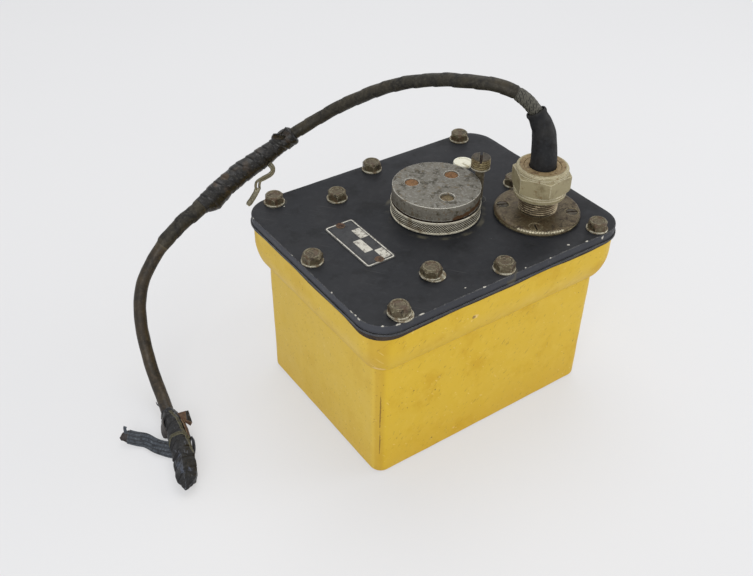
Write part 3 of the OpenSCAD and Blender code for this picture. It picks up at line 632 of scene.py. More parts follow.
def make_plain_finish(name, shades, size, roughness, grain=0.6, relief=0.2, dust=0.2, dust_colour=None,
                      edge=None, edge_amount=0.4, shine=0.35):
    """A mottled finish with dust, fine relief and, where an edge colour is given, rubbed edges."""
    finish, tree, shader, place = new_finish(name)
    mottle = mottled(tree, place, shades, size, 1.0)
    base = mottle["Colour"]
    if edge is not None:
        base = worn(tree, place, base, edge, edge_amount)
    settled = mask_of(tree, DUST, place, size=size * 1.5, amount=dust)
    base = mixed(tree, settled, base, dust_colour or colour(130, 120, 100))
    rough = roughness_from(tree, mottle, roughness[1], roughness[0])
    height = grain_of(tree, place, grain)
    set_shader(tree, shader, Base_Color=base, Roughness=rough, Normal=bump(tree, height, relief),
               Specular_IOR_Level=shine)
    return finish


def make_yellow_moulding():
    """Aged yellow moulding: fine brown specks and scratches, darker towards the bottom; a painted sheen on
    the left face, painted shade on the front corner and a painted highlight along the collar line.
    """
    finish, tree, shader, place = new_finish("yellow moulding")
    mottle = mottled(tree, place, ((216, 184, 66), (209, 174, 50), (200, 161, 38)), 26.0, 0.7)
    height_up = put(tree, "ShaderNodeSeparateXYZ", {0: place}).outputs[2]
    low = spread(tree, height_up, 0.0, 40.0, 0.3, 0.0)
    base = mixed(tree, low, mottle["Colour"], colour(196, 154, 40))
    normal = put(tree, "ShaderNodeNewGeometry").outputs["Normal"]
    side = put(tree, "ShaderNodeSeparateXYZ", {0: normal}).outputs[0]
    # painted sheen: faces turned to the left are paler, as where the light falls on them
    pale = spread(tree, side, -0.9, -0.3, 0.5, 0.0)
    base = mixed(tree, pale, base, colour(212, 182, 82))
    # painted shade: the rounded corner between the left and front faces is darker
    from_left = spread(tree, side, -0.97, -0.85)
    corner = maths(tree, "MULTIPLY", from_left, spread(tree, side, -0.6, -0.25, 1.0, 0.0))
    base = tinted(tree, base, corner, 0.4, colour(176, 134, 32))
    grime = mask_of(tree, DUST, place, size=30.0, amount=0.45)
    base = tinted(tree, base, grime, 0.4, colour(180, 144, 46))
    # fewer specks where the painted sheen of the left face lies
    front = spread(tree, pale, 0.0, 0.5, 1.0, 0.35)
    speck = mask_of(tree, FLECKS, place, spacing=3.4, size=0.16, share=0.32)
    speck = maths(tree, "MULTIPLY", speck, maths(tree, "MULTIPLY", front, 0.75))
    base = mixed(tree, speck, base, colour(118, 84, 34))
    large = mask_of(tree, FLECKS, place, spacing=15.0, size=0.075, share=0.3)
    base = tinted(tree, base, large, 0.7, colour(92, 66, 34))
    rubs = mask_of(tree, SCRATCHES, place, turn=(0.3, 0.7, 0.5), width=0.45, length=7.0, share=0.55)
    base = tinted(tree, base, rubs, 0.4, colour(142, 106, 46))
    pale_rubs = mask_of(tree, SCRATCHES, place, turn=(0.2, -0.9, 0.3), width=0.6, length=9.0, share=0.4)
    base = tinted(tree, base, pale_rubs, 0.35, colour(232, 210, 140))
    edge = mask_of(tree, EDGES, place, amount=0.3, grain=6.0, reach=0.0008)
    base = tinted(tree, base, edge, 0.5, colour(228, 204, 134))
    # pale rubbed spots; the two at the collar line, at heights 88 and 91, are a painted highlight along its
    # lower curve
    rubbed = spots(tree, place, [(-85, -64.5, 91, 5.0, 5.0, 1.2), (-24.1, -73.3, 106.6, 2.2, 2.5, 1.6),
                                 (-25.6, -65.2, 8.9, 0.9, 2, 0.8), (-88.5, 20, 88, 2, 40, 0.9)])
    base = tinted(tree, base, rubbed, 0.45, colour(232, 208, 164))
    marked = spots(tree, place, [(-25.3, -73.3, 106.6, 1.5, 2.5, 1.2), (-82.4, -63, 52, 0.35, 4, 17),
                                 (-82.3, -63, 27, 0.3, 4, 11), (-60, -65.2, 60, 0.7, 2, 0.7)])
    base = tinted(tree, base, marked, 0.7, colour(104, 74, 36))
    rough = roughness_from(tree, mottle, 0.55, 0.38)
    height = grain_of(tree, place, 0.9, waves=14.0, wave_share=2.2)
    set_shader(tree, shader, Base_Color=base, Roughness=rough, Normal=bump(tree, height, 0.25),
               Specular_IOR_Level=0.2)
    return finish


def make_black_paint():
    """Black paint on the lid: pale rubbed edges, pin marks, settled dust, and a painted sheen on its sides.
    """
    finish, tree, shader, place = new_finish("black paint")
    mottle = mottled(tree, place, ((45, 46, 49), (37, 38, 41), (30, 31, 33)), 18.0, 0.8)
    normal = put(tree, "ShaderNodeNewGeometry").outputs["Normal"]
    facing = put(tree, "ShaderNodeSeparateXYZ", {0: normal}).outputs
    # painted sheen: the lid's upright sides are lighter and bluer, most on those facing left
    upright = spread(tree, facing[2], 0.35, 0.85, 1.0, 0.0)
    side_sheen = maths(tree, "MULTIPLY", upright, spread(tree, facing[0], -0.8, 0.0, 0.75, 0.5))
    base = mixed(tree, side_sheen, mottle["Colour"], colour(74, 76, 82))
    base = worn(tree, place, base, colour(112, 111, 108), 0.06, grain=4.0, reach=0.0009)
    bare = spots(tree, place, [
        (-94.9, -51, 127, 0.5, 1.6, 0.7), (-94.6, -55, 127, 0.5, 1.0, 0.7),
        (-94.9, -58.5, 126.9, 0.6, 1.7, 0.9), (-88.3, -70.6, 126.9, 1.6, 0.6, 0.6),
        (-79.6, -74.0, 126.9, 2.2, 0.6, 0.6), (-64.3, -74.1, 127, 2.0, 0.5, 0.5),
        (-20.2, -74.4, 126.8, 1.2, 0.6, 0.6), (73, -74.4, 125, 1.0, 0.6, 1.4),
        (-94.8, 59.3, 126.9, 0.6, 1.2, 0.6), (-94.6, -31, 127, 0.5, 0.8, 0.6),
        (11.1, -73.6, 127, 0.8, 0.5, 0.4), (60, -73.9, 127, 1.0, 0.5, 0.4),
        (30, -74.3, 126.8, 0.9, 0.5, 0.5), (-94.7, 12, 127, 0.4, 0.8, 0.5), (-72, 60, 127, 0.7, 0.5, 0.3),
        (48, -70.5, 127, 0.9, 0.7, 0.3), (-30, -69, 127, 0.6, 0.4, 0.3)], grain=0.8)
    base = tinted(tree, base, bare, 0.9, colour(196, 192, 180))
    pins = mask_of(tree, FLECKS, place, spacing=7.0, size=0.07, share=0.25)
    base = tinted(tree, base, pins, 0.4, colour(130, 128, 124))
    rubs = mask_of(tree, SCRATCHES, place, turn=(0.0, 0.0, 0.9), width=0.35, length=14.0, share=0.42)
    base = tinted(tree, base, rubs, 0.15, colour(112, 110, 108))
    settled = mask_of(tree, DUST, place, size=26.0, amount=0.3)
    base = tinted(tree, base, settled, 0.2, colour(104, 101, 98))
    rings = [(*CAP_AT, 30.5, 2.2), (*EDGE_BOLTS[1], 7.6, 1.3), (*INNER_BOLTS[1], 7.4, 0.9),
             (*EDGE_BOLTS[0], 7.4, 0.8), (*EDGE_BOLTS[5], 7.2, 0.8)]
    stain = halos(tree, place, rings, 9.0)
    base = tinted(tree, base, stain, 0.7, colour(96, 92, 78))
    rough = roughness_from(tree, mottle, 0.5, 0.34)
    rough = maths(tree, "ADD", rough, maths(tree, "MULTIPLY", settled, 0.35))
    height = grain_of(tree, place, 0.8, waves=22.0, wave_share=2.5)
    set_shader(tree, shader, Base_Color=base, Roughness=rough, Normal=bump(tree, height, 0.18),
               Specular_IOR_Level=0.12)
    return finish


def make_metal(name, shades, bright, metal, rust=None, rust_share=0.4, size=5.0, contrast=1.2,
               roughness=(0.32, 0.6), edge_amount=0.6, relief=0.35, pits=0.0, dust=0.2, marks=(),
               mark_colour=None, mark_grain=0.9, mark_ragged=2.6):
    """Old metal: tarnish in three shades, rubbed edges, rust or dirt in patches, pits and dust."""
    finish, tree, shader, place = new_finish(name)
    mottle = mottled(tree, place, shades, size, contrast)
    base = worn(tree, place, mottle["Colour"], bright, edge_amount, grain=1.6)
    share = metal
    if rust is not None:
        level = 0.62 - 0.25 * rust_share
        patches = clouds(tree, place, 0.31, 6.0, 0.7)
        rusty = spread(tree, patches, level - 0.05, level + 0.06)
        rusty = maths(tree, "MULTIPLY", rusty, 0.85)
        base = mixed(tree, rusty, base, rust)
        share = maths(tree, "MULTIPLY", maths(tree, "SUBTRACT", 1.0, rusty), metal)
    height = grain_of(tree, place, 0.5)
    if pits:
        pit = mask_of(tree, FLECKS, place, spacing=1.5, size=0.3, share=pits)
        base = tinted(tree, base, pit, 0.65, colour(*shades[2]))
        height = maths(tree, "SUBTRACT", height, pit)
    settled = mask_of(tree, DUST, place, size=9.0, amount=dust)
    base = mixed(tree, settled, base, colour(124, 112, 90))
    if marks:
        base = mixed(tree, spots(tree, place, marks, mark_grain, mark_ragged), base, mark_colour)
    rough = roughness_from(tree, mottle, roughness[1], roughness[0])
    set_shader(tree, shader, Base_Color=base, Roughness=rough, Metallic=share,
               Normal=bump(tree, height, relief), Specular_IOR_Level=0.3)
    return finish


def make_tape():
    """Grey-olive cloth tape with painted shade in its laps, and the pale braid that shows at the boot, with
    painted shade between its strands.
    """
    finish, tree, shader, place = new_finish("cable tape")
    mottle = mottled(tree, place, ((62, 59, 50), (41, 39, 33), (27, 26, 23)), 7.0, 1.2)
    # painted shade: the lap creases, and the neck where the tape meets the braid, are darkened
    lap = mark_on(tree, "lap")
    base = tinted(tree, mottle["Colour"], lap, 0.85, colour(24, 22, 19))
    brown = mask_of(tree, DUST, place, size=14.0, amount=0.8)
    base = tinted(tree, base, brown, 0.3, colour(92, 80, 56))
    # painted shade: the strands stay pale, and the sunk gaps between them go near black
    weave = mark_on(tree, "weave")
    strands = mixed(tree, spread(tree, weave, 0.3, 0.75), colour(84, 82, 73), colour(17, 16, 16))
    braid = mark_on(tree, "braid")
    base = mixed(tree, braid, base, strands)
    height = grain_of(tree, place, 0.7, waves=4.0, wave_share=1.6)
    height = maths(tree, "SUBTRACT", height, weave)
    rough = roughness_from(tree, mottle, 0.62, 0.4)
    set_shader(tree, shader, Base_Color=base, Roughness=rough, Normal=bump(tree, height, 0.35),
               Specular_IOR_Level=0.25)
    return finish


def make_bandage(name, shades, scuff, stain=None, roughness=(0.38, 0.6), marks=(), mark_colour=None):
    """Old insulating tape: scuffed where it stands proud, with painted shade in its folds and laps."""
    finish, tree, shader, place = new_finish(name)
    mottle = mottled(tree, place, shades, 4.0, 1.2)
    edge = mask_of(tree, EDGES, place, amount=0.8, grain=1.4, reach=0.0007)
    base = tinted(tree, mottle["Colour"], edge, 0.6, scuff)
    rubs = mask_of(tree, SCRATCHES, place, turn=(0.2, 0.3, 1.8), width=0.5, length=3.5, share=0.6)
    base = tinted(tree, base, rubs, 0.5, scuff)
    # painted shade: the folds and laps are darkened nearly to black
    lap = mark_on(tree, "lap")
    base = tinted(tree, base, lap, 0.95, colour(12, 11, 11))
    if marks:
        worn_spots = maths(tree, "MULTIPLY", spots(tree, place, marks, 0.6, 5.0), 0.6)
        base = mixed(tree, worn_spots, base, mark_colour)
    if stain is not None:
        cloud = clouds(tree, place, 0.11, 5.0)
        base = mixed(tree, spread(tree, cloud, 0.54, 0.66, 0.0, 0.7), base, stain)
        brown = spots(tree, place, [(-84.5, 117, 124.5, 3.6, 4, 2.4), (-92, 116, 121, 2.2, 3, 1.6)])
        base = tinted(tree, base, brown, 0.6, colour(76, 60, 43))
    height = grain_of(tree, place, 0.7, waves=4.0, wave_share=1.6)
    height = maths(tree, "SUBTRACT", height, lap)
    rough = roughness_from(tree, mottle, roughness[1], roughness[0])
    set_shader(tree, shader, Base_Color=base, Roughness=rough, Normal=bump(tree, height, 0.4),
               Specular_IOR_Level=0.3)
    return finish


def make_sheath():
    """Smooth dark sheath with olive and brown patches, and painted shade in the laps of the tape on it."""
    finish, tree, shader, place = new_finish("cable sheath")
    mottle = mottled(tree, place, ((66, 58, 47), (44, 40, 34), (30, 28, 26)), 8.0, 1.2)
    taped = mark_on(tree, "taped")
    olive = mixed(tree, taped, mottle["Colour"], colour(76, 70, 56))
    # painted shade in the laps of the tape over the sheath
    lap = mark_on(tree, "lap")
    base = tinted(tree, olive, lap, 0.8, colour(22, 20, 18))
    brown = mask_of(tree, DUST, place, size=11.0, amount=0.8)
    base = tinted(tree, base, brown, 0.3, colour(104, 86, 60))
    height = grain_of(tree, place, 0.8, waves=5.0, wave_share=1.2)
    rough = roughness_from(tree, mottle, 0.55, 0.36)
    set_shader(tree, shader, Base_Color=base, Roughness=rough, Normal=bump(tree, height, 0.3),
               Specular_IOR_Level=0.25)
    return finish


def make_grooved_metal(name, shades, groove, stain, stained, metal=0.4):
    """Worn metal of the knurled band and the thread: painted shade in its grooves, so it is bright on its
    crests.
    """
    finish, tree, shader, place = new_finish(name)
    mottle = mottled(tree, place, shades, 4.0, 1.0)
    depth = mark_on(tree, "groove")
    # painted shade: the deeper the groove, the darker
    base = mixed(tree, spread(tree, depth, 0.3, 0.75, 0.0, 0.94), mottle["Colour"], groove)
    cloud = clouds(tree, place, 0.09, 4.0)
    base = mixed(tree, spread(tree, cloud, 0.54, 0.7, 0.0, stained), base, stain)
    height = grain_of(tree, place, 0.5)
    set_shader(tree, shader, Base_Color=base, Metallic=metal, Roughness=0.42, Normal=bump(tree, height, 0.2))
    return finish


def make_label_white():
    """White printing that has yellowed and rubbed."""
    finish, tree, shader, place = new_finish("label white")
    mottle = mottled(tree, place, ((214, 210, 198), (186, 182, 170), (120, 114, 104)), 2.4, 1.4)
    height = grain_of(tree, place, 0.4)
    set_shader(tree, shader, Base_Color=mottle["Colour"], Roughness=0.5, Normal=bump(tree, height, 0.15))
    return finish


YELLOW = make_yellow_moulding()
BLACK = make_black_paint()
TAPE = make_tape()
SHEATH = make_sheath()
# black tape marks: blue-grey scuffs, and the spot at (-182.1, -5.6, 14.0) is a painted highlight
BANDAGE = make_bandage("black tape", ((46, 46, 48), (28, 28, 28), (18, 18, 18)), colour(98, 102, 110),
                       marks=[(-186.2, 1.2, 13.0, 1.6, 2.2, 3), (-186.6, -3.9, 13.5, 1.2, 2.4, 3),
                              (-182.1, -5.6, 14.0, 1.1, 1.1, 3), (-183.4, 7.1, 13.0, 1.4, 1.0, 3)],
                       mark_colour=colour(84, 90, 104))
OLIVE_TAPE = make_bandage("olive tape", ((86, 83, 62), (63, 60, 43), (38, 36, 26)), colour(112, 108, 84))
SCARF_CLOTH = make_bandage("brown tape", ((54, 46, 42), (39, 33, 31), (25, 21, 20)), colour(78, 70, 64))
TAIL_TAPE = make_bandage("slate tape", ((84, 91, 98), (60, 65, 71), (38, 41, 45)), colour(112, 119, 126))
SPLICE_TAPE = make_bandage("splice tape", ((52, 49, 43), (29, 28, 26), (17, 16, 16)), colour(88, 88, 90),
                           stain=colour(58, 47, 35), roughness=(0.26, 0.5))
KNURL = make_grooved_metal("knurled band", ((236, 231, 214), (214, 208, 188), (158, 148, 124)),
                           colour(54, 48, 37), colour(112, 90, 60), 0.35)
THREAD = make_grooved_metal("brass thread", ((196, 183, 154), (138, 124, 98), (84, 72, 53)),
                            colour(40, 33, 23), colour(84, 68, 46), 0.5, metal=0.7)
LABEL_WHITE = make_label_white()
GASKET = make_plain_finish("brown gasket", ((66, 50, 38), (44, 33, 25), (28, 21, 17)), size=5.0,
                           roughness=(0.6, 0.85), dust=0.15)
BOLT = make_metal("olive steel", ((116, 108, 86), (84, 76, 58), (46, 39, 29)), colour(150, 144, 120),
                  rust=colour(74, 55, 39), rust_share=0.35, metal=0.3, edge_amount=0.4, dust=0.12)
HOOK_WIRE = make_metal("hook wire", ((122, 118, 98), (98, 94, 76), (62, 58, 44)), colour(158, 154, 134),
                       metal=0.3)
WASHER = make_metal("washer steel", ((176, 171, 150), (148, 141, 118), (98, 90, 68)),
                    colour(204, 200, 184), rust=colour(98, 80, 54), rust_share=0.4, metal=0.4)
PLATE = make_plain_finish("plate black", ((48, 49, 51), (38, 39, 41), (29, 29, 31)), size=6.0,
                          roughness=(0.45, 0.6), grain=0.5, relief=0.12, dust=0.08,
                          dust_colour=colour(110, 108, 104), edge=colour(110, 108, 102), edge_amount=0.2)
RUST = make_metal("rusty steel", ((102, 80, 60), (78, 58, 43), (44, 34, 28)), colour(130, 108, 84),
                  rust=colour(84, 56, 40), rust_share=0.4, metal=0.1, roughness=(0.6, 0.85), relief=0.8)
ORANGE_RUST = make_metal("crusted rust", ((150, 112, 74), (124, 88, 56), (78, 54, 36)),
                         colour(160, 126, 90), metal=0.0, size=1.6, roughness=(0.75, 0.95), relief=0.9)
CREAM = make_plain_finish("cream plastic", ((238, 236, 222), (224, 221, 202), (188, 180, 152)), size=5.0,
                          roughness=(0.45, 0.6), dust=0.08)
CAP_METAL = make_metal("cap alloy", ((146, 144, 138), (113, 110, 101), (74, 70, 60)),
                       colour(214, 211, 200), rust=colour(98, 84, 60), rust_share=0.1, size=5.5,
                       contrast=1.1, metal=0.25, roughness=(0.55, 0.75), pits=0.22, relief=0.4, dust=0.05)
CAP_SIDE = make_metal("cap side", ((146, 144, 134), (116, 112, 102), (78, 72, 58)), colour(222, 219, 207),
                      rust=colour(96, 80, 58), rust_share=0.1, size=4.0, contrast=0.9, metal=0.3,
                      roughness=(0.4, 0.6), dust=0.05,
                      marks=[(*on_circle(CAP_AT, 27.4, math.radians(a)),
                              138.4 + 0.05 * (a - 262), 4.5, 4.5, 1.9) for a in range(262, 311, 12)],
                      mark_colour=colour(88, 64, 42), mark_grain=3.0, mark_ragged=1.4)
# painted shade: a dark fill for screw slots and the gap between the knurled ring and the cap's top
GROOVE = make_plain_finish("groove shade", ((66, 46, 29), (42, 30, 20), (22, 17, 13)), size=4.0,
                           roughness=(0.7, 0.9), dust=0.1)
BRASS = make_metal("brass", ((206, 174, 104), (176, 142, 78), (126, 98, 52)), colour(222, 196, 132),
                   metal=0.9, roughness=(0.3, 0.5))
DARK_BRASS = make_metal("dark brass", ((142, 127, 92), (105, 92, 64), (58, 48, 32)),
                        colour(182, 168, 128), rust=colour(78, 60, 38), rust_share=0.3, metal=0.45)
DULL_BRASS = make_metal("dull brass", ((70, 64, 50), (52, 47, 37), (33, 29, 23)), colour(98, 90, 70),
                        rust=colour(54, 42, 30), rust_share=0.3, metal=0.25)
CONE = make_plain_finish("stained cone", ((172, 154, 116), (138, 116, 80), (92, 70, 44)), size=5.0,
                         roughness=(0.5, 0.7), dust=0.15)
RUBBER = make_plain_finish("black rubber", ((40, 41, 44), (28, 29, 31), (20, 20, 22)), size=7.0,
                           roughness=(0.5, 0.7), grain=0.8, relief=0.2, dust=0.06, shine=0.2)
PHENOLIC = make_plain_finish("phenolic board", ((150, 112, 66), (122, 84, 46), (88, 56, 30)), size=9.0,
                             roughness=(0.4, 0.6))
# the flange's marks are a pale line on the rim's front: worn metal and a painted highlight
FLANGE = make_metal("flange metal", ((114, 102, 77), (86, 75, 55), (53, 44, 31)), colour(150, 140, 110),
                    rust=colour(68, 53, 34), rust_share=0.3, metal=0.4, edge_amount=0.5, dust=0.08,
                    marks=[(*on_circle(GLAND_AT, 26.6, math.radians(a)), 129.8, 0.8, 0.8, 0.7)
                           for a in range(203, 266, 4)],
                    mark_colour=colour(206, 198, 170), mark_grain=0.35, mark_ragged=6.0)
NUT = make_metal("nut enamel", ((172, 163, 132), (153, 143, 111), (122, 110, 80)), colour(200, 192, 164),
                 rust=colour(120, 98, 62), rust_share=0.05, size=12.0, contrast=0.7, metal=0.1,
                 roughness=(0.4, 0.55), relief=0.2, dust=0.08)
WIRE = make_plain_finish("wire cover", ((150, 56, 46), (124, 42, 36), (88, 28, 26)), size=4.0,
                         roughness=(0.4, 0.6))
GLASS_ROD = make_plain_finish("fuse body", ((214, 220, 216), (188, 196, 192), (140, 146, 142)), size=6.0,
                              roughness=(0.15, 0.3), dust=0.1)
JAR = make_plain_finish("jar plastic", ((62, 62, 68), (44, 44, 49), (30, 30, 34)), size=14.0,
                        roughness=(0.35, 0.55))
LEAD = make_metal("lead", ((142, 144, 148), (112, 114, 118), (78, 80, 84)), colour(160, 162, 166),
                  metal=0.5, roughness=(0.5, 0.7))
SEPARATOR = make_plain_finish("separator sheet", ((206, 196, 166), (186, 174, 142), (146, 132, 102)),
                              size=7.0, roughness=(0.75, 0.9))
VENT = make_plain_finish("vent plastic", ((196, 90, 64), (172, 68, 46), (130, 46, 32)), size=6.0,
                         roughness=(0.4, 0.55))
FELT = make_plain_finish("packing felt", ((126, 122, 106), (104, 100, 86), (76, 72, 60)), size=3.0,
                         roughness=(0.85, 0.98), relief=0.7)

# ---------------------------------------------------------------- the cable and what is on it

ROUTE = [
    (55.6, -33.9, 154), (55.6, -33.9, 165), (56.1, -32.1, 175), (55.7, -29.9, 184.2),
    (52.5, -25.3, 194.7), (47.7, -20.2, 201.6), (40.9, -13.6, 206.9), (32.4, -4.6, 209.1),
    (25.2, 8.2, 207.5), (22.7, 23, 203.3), (19.2, 38, 197.8), (14, 53, 191.5), (7.5, 68.5, 183),
    (0, 82, 173.5), (-8.5, 95.5, 163), (-19, 106.5, 152), (-32, 114.5, 142), (-43, 118, 135),
    (-57, 119.5, 128.3), (-71, 119.3, 123), (-85, 117.5, 117.7), (-98, 115, 112.5),
    (-112, 112.5, 107.5), (-125, 110.5, 102), (-137, 108.8, 94), (-147, 107.5, 84),
    (-155, 106, 73), (-160.5, 102.5, 60.5), (-164, 97, 46.5), (-166, 89, 32), (-167.5, 79, 20),
    (-169, 65, 11.5), (-171.5, 50, 8), (-174, 38, 7.4), (-177, 25, 7.4), (-180.5, 12, 7.4),
    (-184, 1, 7.2), (-187, -8.5, 6),
]
BOOT_END, SPLICE_START, SPLICE_END, STUMP_START = 4, 16, 21, 32
CABLE_R = 4.15
TAPE_PITCH = 16.0  # one turn of the wrapped tape, along the cable
SPLICE_LENGTH = 82
SMOOTH_SHEATH = 24  # route point where the tape ends on the lower run


def between(at, stops, values):
    """A value eased along the stops."""
    at = min(max(at, stops[0]), stops[-1])
    for low, high, a, b in zip(stops, stops[1:], values, values[1:]):
        if at <= high:
            return a + (b - a) * smooth_step(at, low, high)
    return values[-1]


def make_cable():
    """The cable from the boot to the stump: braid, then wrapped tape, then bare sheath."""
    places, distance, given = smooth_line(ROUTE[BOOT_END : STUMP_START + 1], 0.8)
    braid_end = 16.0
    splice_end = given[SPLICE_END - BOOT_END]
    tape_end = given[SMOOTH_SHEATH - BOOT_END]
    sides = 40
    laps, weaves, taped, braided = [], [], [], []

    def radius_at(i, angle):
        s = distance[i]
        x, y, z = places[i]
        step = (s / TAPE_PITCH + angle / TAU) % 1.0
        along_tape = 0.42 * step - 0.2
        near_step = min(step, 1 - step)
        crease = bell(near_step, 0.035)
        wrap = smooth_step(s, braid_end, braid_end + 1.5) * (1 - smooth_step(s, tape_end, tape_end + 3))
        lump = 0.16 * lumps((x + 3 * math.cos(angle), y + 3 * math.sin(angle), z), 6.0, 3.1)
        extra = between(s, (splice_end, splice_end + 10, tape_end - 4, tape_end + 4), (1.5, 1.15, 0.7, 0.0))
        extra = 0.0 if s < splice_end - 12 else extra
        band = 0.5 * extra * lumps((s / 2, angle, 4.0), 2.2, 5.0)
        strand = min(abs(math.sin(5 * angle + 1.15 * s)), abs(math.sin(5 * angle - 1.15 * s)))
        is_braid = 1 - smooth_step(s, braid_end, braid_end + 0.8)
        neck = -0.5 * bell(s - braid_end, 0.9)
        # masks for painted shade: the tape's lap creases, the braid's neck, and the gaps between its strands
        laps.append(max(crease * wrap, 0.9 * bell(s - braid_end, 0.9)))
        weaves.append(is_braid * (1 - smooth_step(strand, 0.1, 0.6)))
        braided.append(is_braid)
        taped.append(wrap)
        sag = 0.14 * lumps((s / 9, 0.3, 8.0), 1.0, 9.0)
        taped_r = CABLE_R + wrap * along_tape - 0.14 * crease * wrap
        return taped_r + lump + extra + band + neck + 0.25 * (strand - 0.5) * is_braid + sag

    rings = tube_rings(places, radius_at, sides)
    shape = Shape()
    marks = {"lap": laps, "weave": weaves, "taped": taped, "braid": braided}
    shape.skin(rings, marks=marks)
    first_sheath = int(np.searchsorted(distance, tape_end))
    shape.paint_rings(sides, lambda ring: ring >= first_sheath)
    cable = shape.piece("cable", [TAPE, SHEATH], "box", ["cable_upper", "cable_lower"], "cable_tape", 60)
    return cable, places, distance[-1]


cable, cable_line, cable_length = make_cable()


def make_splice():
    """The taped splice: lumpy bands that overlap, a collar at the top and a sagging underside."""
    places, distance, _ = smooth_line(ROUTE[SPLICE_START : SPLICE_END + 2], 0.6)
    places = places[distance < SPLICE_LENGTH]
    across, up = frames_along(places)
    total = distance[len(places) - 1]
    sides = 56
    laps = []

    def radius_at(i, angle):
        s = distance[i]
        body = between(s, (0, 11, 15, 24, 34, 44, 58, 70, total),
                       (5.8, 6.0, 6.0, 6.7, 7.1, 7.4, 7.3, 7.1, 5.8))
        down = -(math.cos(angle) * across[i][2] + math.sin(angle) * up[i][2])
        shift = between(s, (0, 14, 28, 44, 58, 70, total), (0.0, 0.5, 1.2, 1.0, 0.9, 0.6, 0.0))
        sag = 2.8 * bell(s - 71, 7.0) * max(0.0, down) ** 1.5
        drift = lumps((s, 2 * math.cos(angle), 2 * math.sin(angle)), 9.0)
        slanted = s + 2.6 * math.sin(angle + 0.6) + 2.0 * drift
        band = (slanted / 6.8) % 1.0
        step = 0.4 * (band - 0.5)
        crease = bell(min(band, 1 - band), 0.06)
        collar = smooth_step(slanted, -1.5, -0.5) - smooth_step(slanted, 10.6, 11.1)
        spot = (places[i][0], 6 * math.cos(angle), 6 * math.sin(angle))
        lump = 0.5 * lumps(spot, 6.0, 1.7) + 0.2 * lumps(spot, 2.0, 6.1)
        # painted shade in the creases between the bands
        laps.append(crease)
        ends = smooth_step(s, -0.2, 1.2) * (1 - smooth_step(s, total - 1.2, total + 0.2))
        return (body + step - 0.25 * crease + collar + lump + sag + shift * down) * (0.86 + 0.14 * ends)

    rings = tube_rings(places, radius_at, sides)
    shape = Shape()
    shape.skin(rings, marks={"lap": laps})
    for line, widths in SPLICE_TABS:
        add_strip(shape, line, widths, 0.9, (0.7, -0.2, 0.7), curl=0.3, rough=0.4, spacing=0.6)
    return shape.piece("splice", SPLICE_TAPE, "box", ["cable_splice"], "cable_tape", 55)


def add_strip(shape, points, width, thick, across, paint=0, curl=0.0, rough=0.12, spacing=0.8):
    """A bent strip along the points; the width may be one value or a list of (share along, width)."""
    places, distance, _ = smooth_line(points, spacing)
    sides, ups = frames_along(places, across)
    stops = width if isinstance(width, list) else [(0.0, width), (1.0, width)]
    rings = []
    for i, place in enumerate(places):
        share = distance[i] / distance[-1]
        half = between(share, [stop for stop, _ in stops], [value for _, value in stops]) / 2
        ring = []
        for side in (1, -1):
            for k in range(9):
                u = (k / 4 - 1) * side
                ragged = 1 + rough * lumps((distance[i], u * half, 3.0), 2.5, 7.7)
                rise = curl * u * u + side * thick / 2 * (1 - 0.5 * abs(u) ** 6)
                ring.append(place + sides[i] * half * u * ragged + ups[i] * rise)
        rings.append(ring)
    shape.skin(rings, paint=paint)


BAND_SECTION = ((-1, -0.5), (-0.9, 0.7), (-0.5, 1.0), (0, 1.05), (0.5, 1.0), (0.9, 0.7), (1, -0.5), (0, -0.6))
PER_RADIAN = 8  # millimetres of a band's line for each radian round the stump


def add_band(shape, surface, stations, width, thick, paint):
    """A strip laid on a wound surface; each station is (distance along, angle round)."""
    line, _, _ = smooth_line([(s, PER_RADIAN * a, 0) for s, a in stations], 1.0)
    route = [(x, y / PER_RADIAN) for x, y, _ in line]
    middle = np.array([surface(s, a, thick / 2)[0] for s, a in route])
    ahead = np.gradient(middle, axis=0)
    ahead /= np.linalg.norm(ahead, axis=1)[:, None]
    rings = []
    for i, (s, a) in enumerate(route):
        out = surface(s, a, 0.0)[1]
        side = np.cross(ahead[i], out)
        side /= np.linalg.norm(side)
        half = width / 2 * (1 + 0.12 * lumps((s, a, paint), 2.0))
        ring = []
        for u, h in BAND_SECTION:
            drop = 0.5 * (u * half) ** 2 / 7.0 * abs(side.dot(np.cross(out, (0.25, 0.97, 0))))
            ring.append(middle[i] + side * half * u + out * (h * thick / 2 - drop))
        rings.append(ring)
    shape.skin(rings, paint=paint)


SPLICE_TABS = [
    ([(-38.6, 113.4, 141.0), (-42.6, 111.2, 143.6), (-46.6, 110.5, 145.9), (-50.3, 110.5, 147.8)],
     [(0.0, 5.0), (0.4, 4.6), (0.8, 4.8), (1.0, 2.6)]),
    ([(-45.6, 110.6, 147.4), (-43.6, 110.2, 148.2), (-41.8, 110.2, 149.6), (-39.9, 110.5, 150.8)],
     [(0.0, 2.4), (0.5, 1.6), (1.0, 0.9)]),
]
splice = make_splice()

HOOK_OUTER = [(-51.7, 115.2, 126.6), (-51.9, 112.0, 126.2), (-51.2, 110.2, 124.4), (-51.3, 110, 121.3),
              (-53.7, 110, 118.8), (-58.6, 110, 117.5), (-61.9, 110, 116.9), (-62.9, 110, 114.4),
              (-63.2, 109.6, 111.3)]
HOOK_INNER = [(-53.0, 115.0, 126.0), (-53.4, 112.0, 125.2), (-52.7, 110.3, 123.6), (-53.1, 110, 121.5),
              (-55.6, 110, 120.1), (-60.4, 110, 119.1), (-64.6, 110, 117.5), (-65.8, 110, 114.6),
              (-65.6, 109.6, 111.3)]
HOOK_LEG = [(-64.4, 109.6, 112.6), (-66.9, 109.1, 109.2), (-70.2, 109, 105.3), (-73.4, 109, 102.2)]


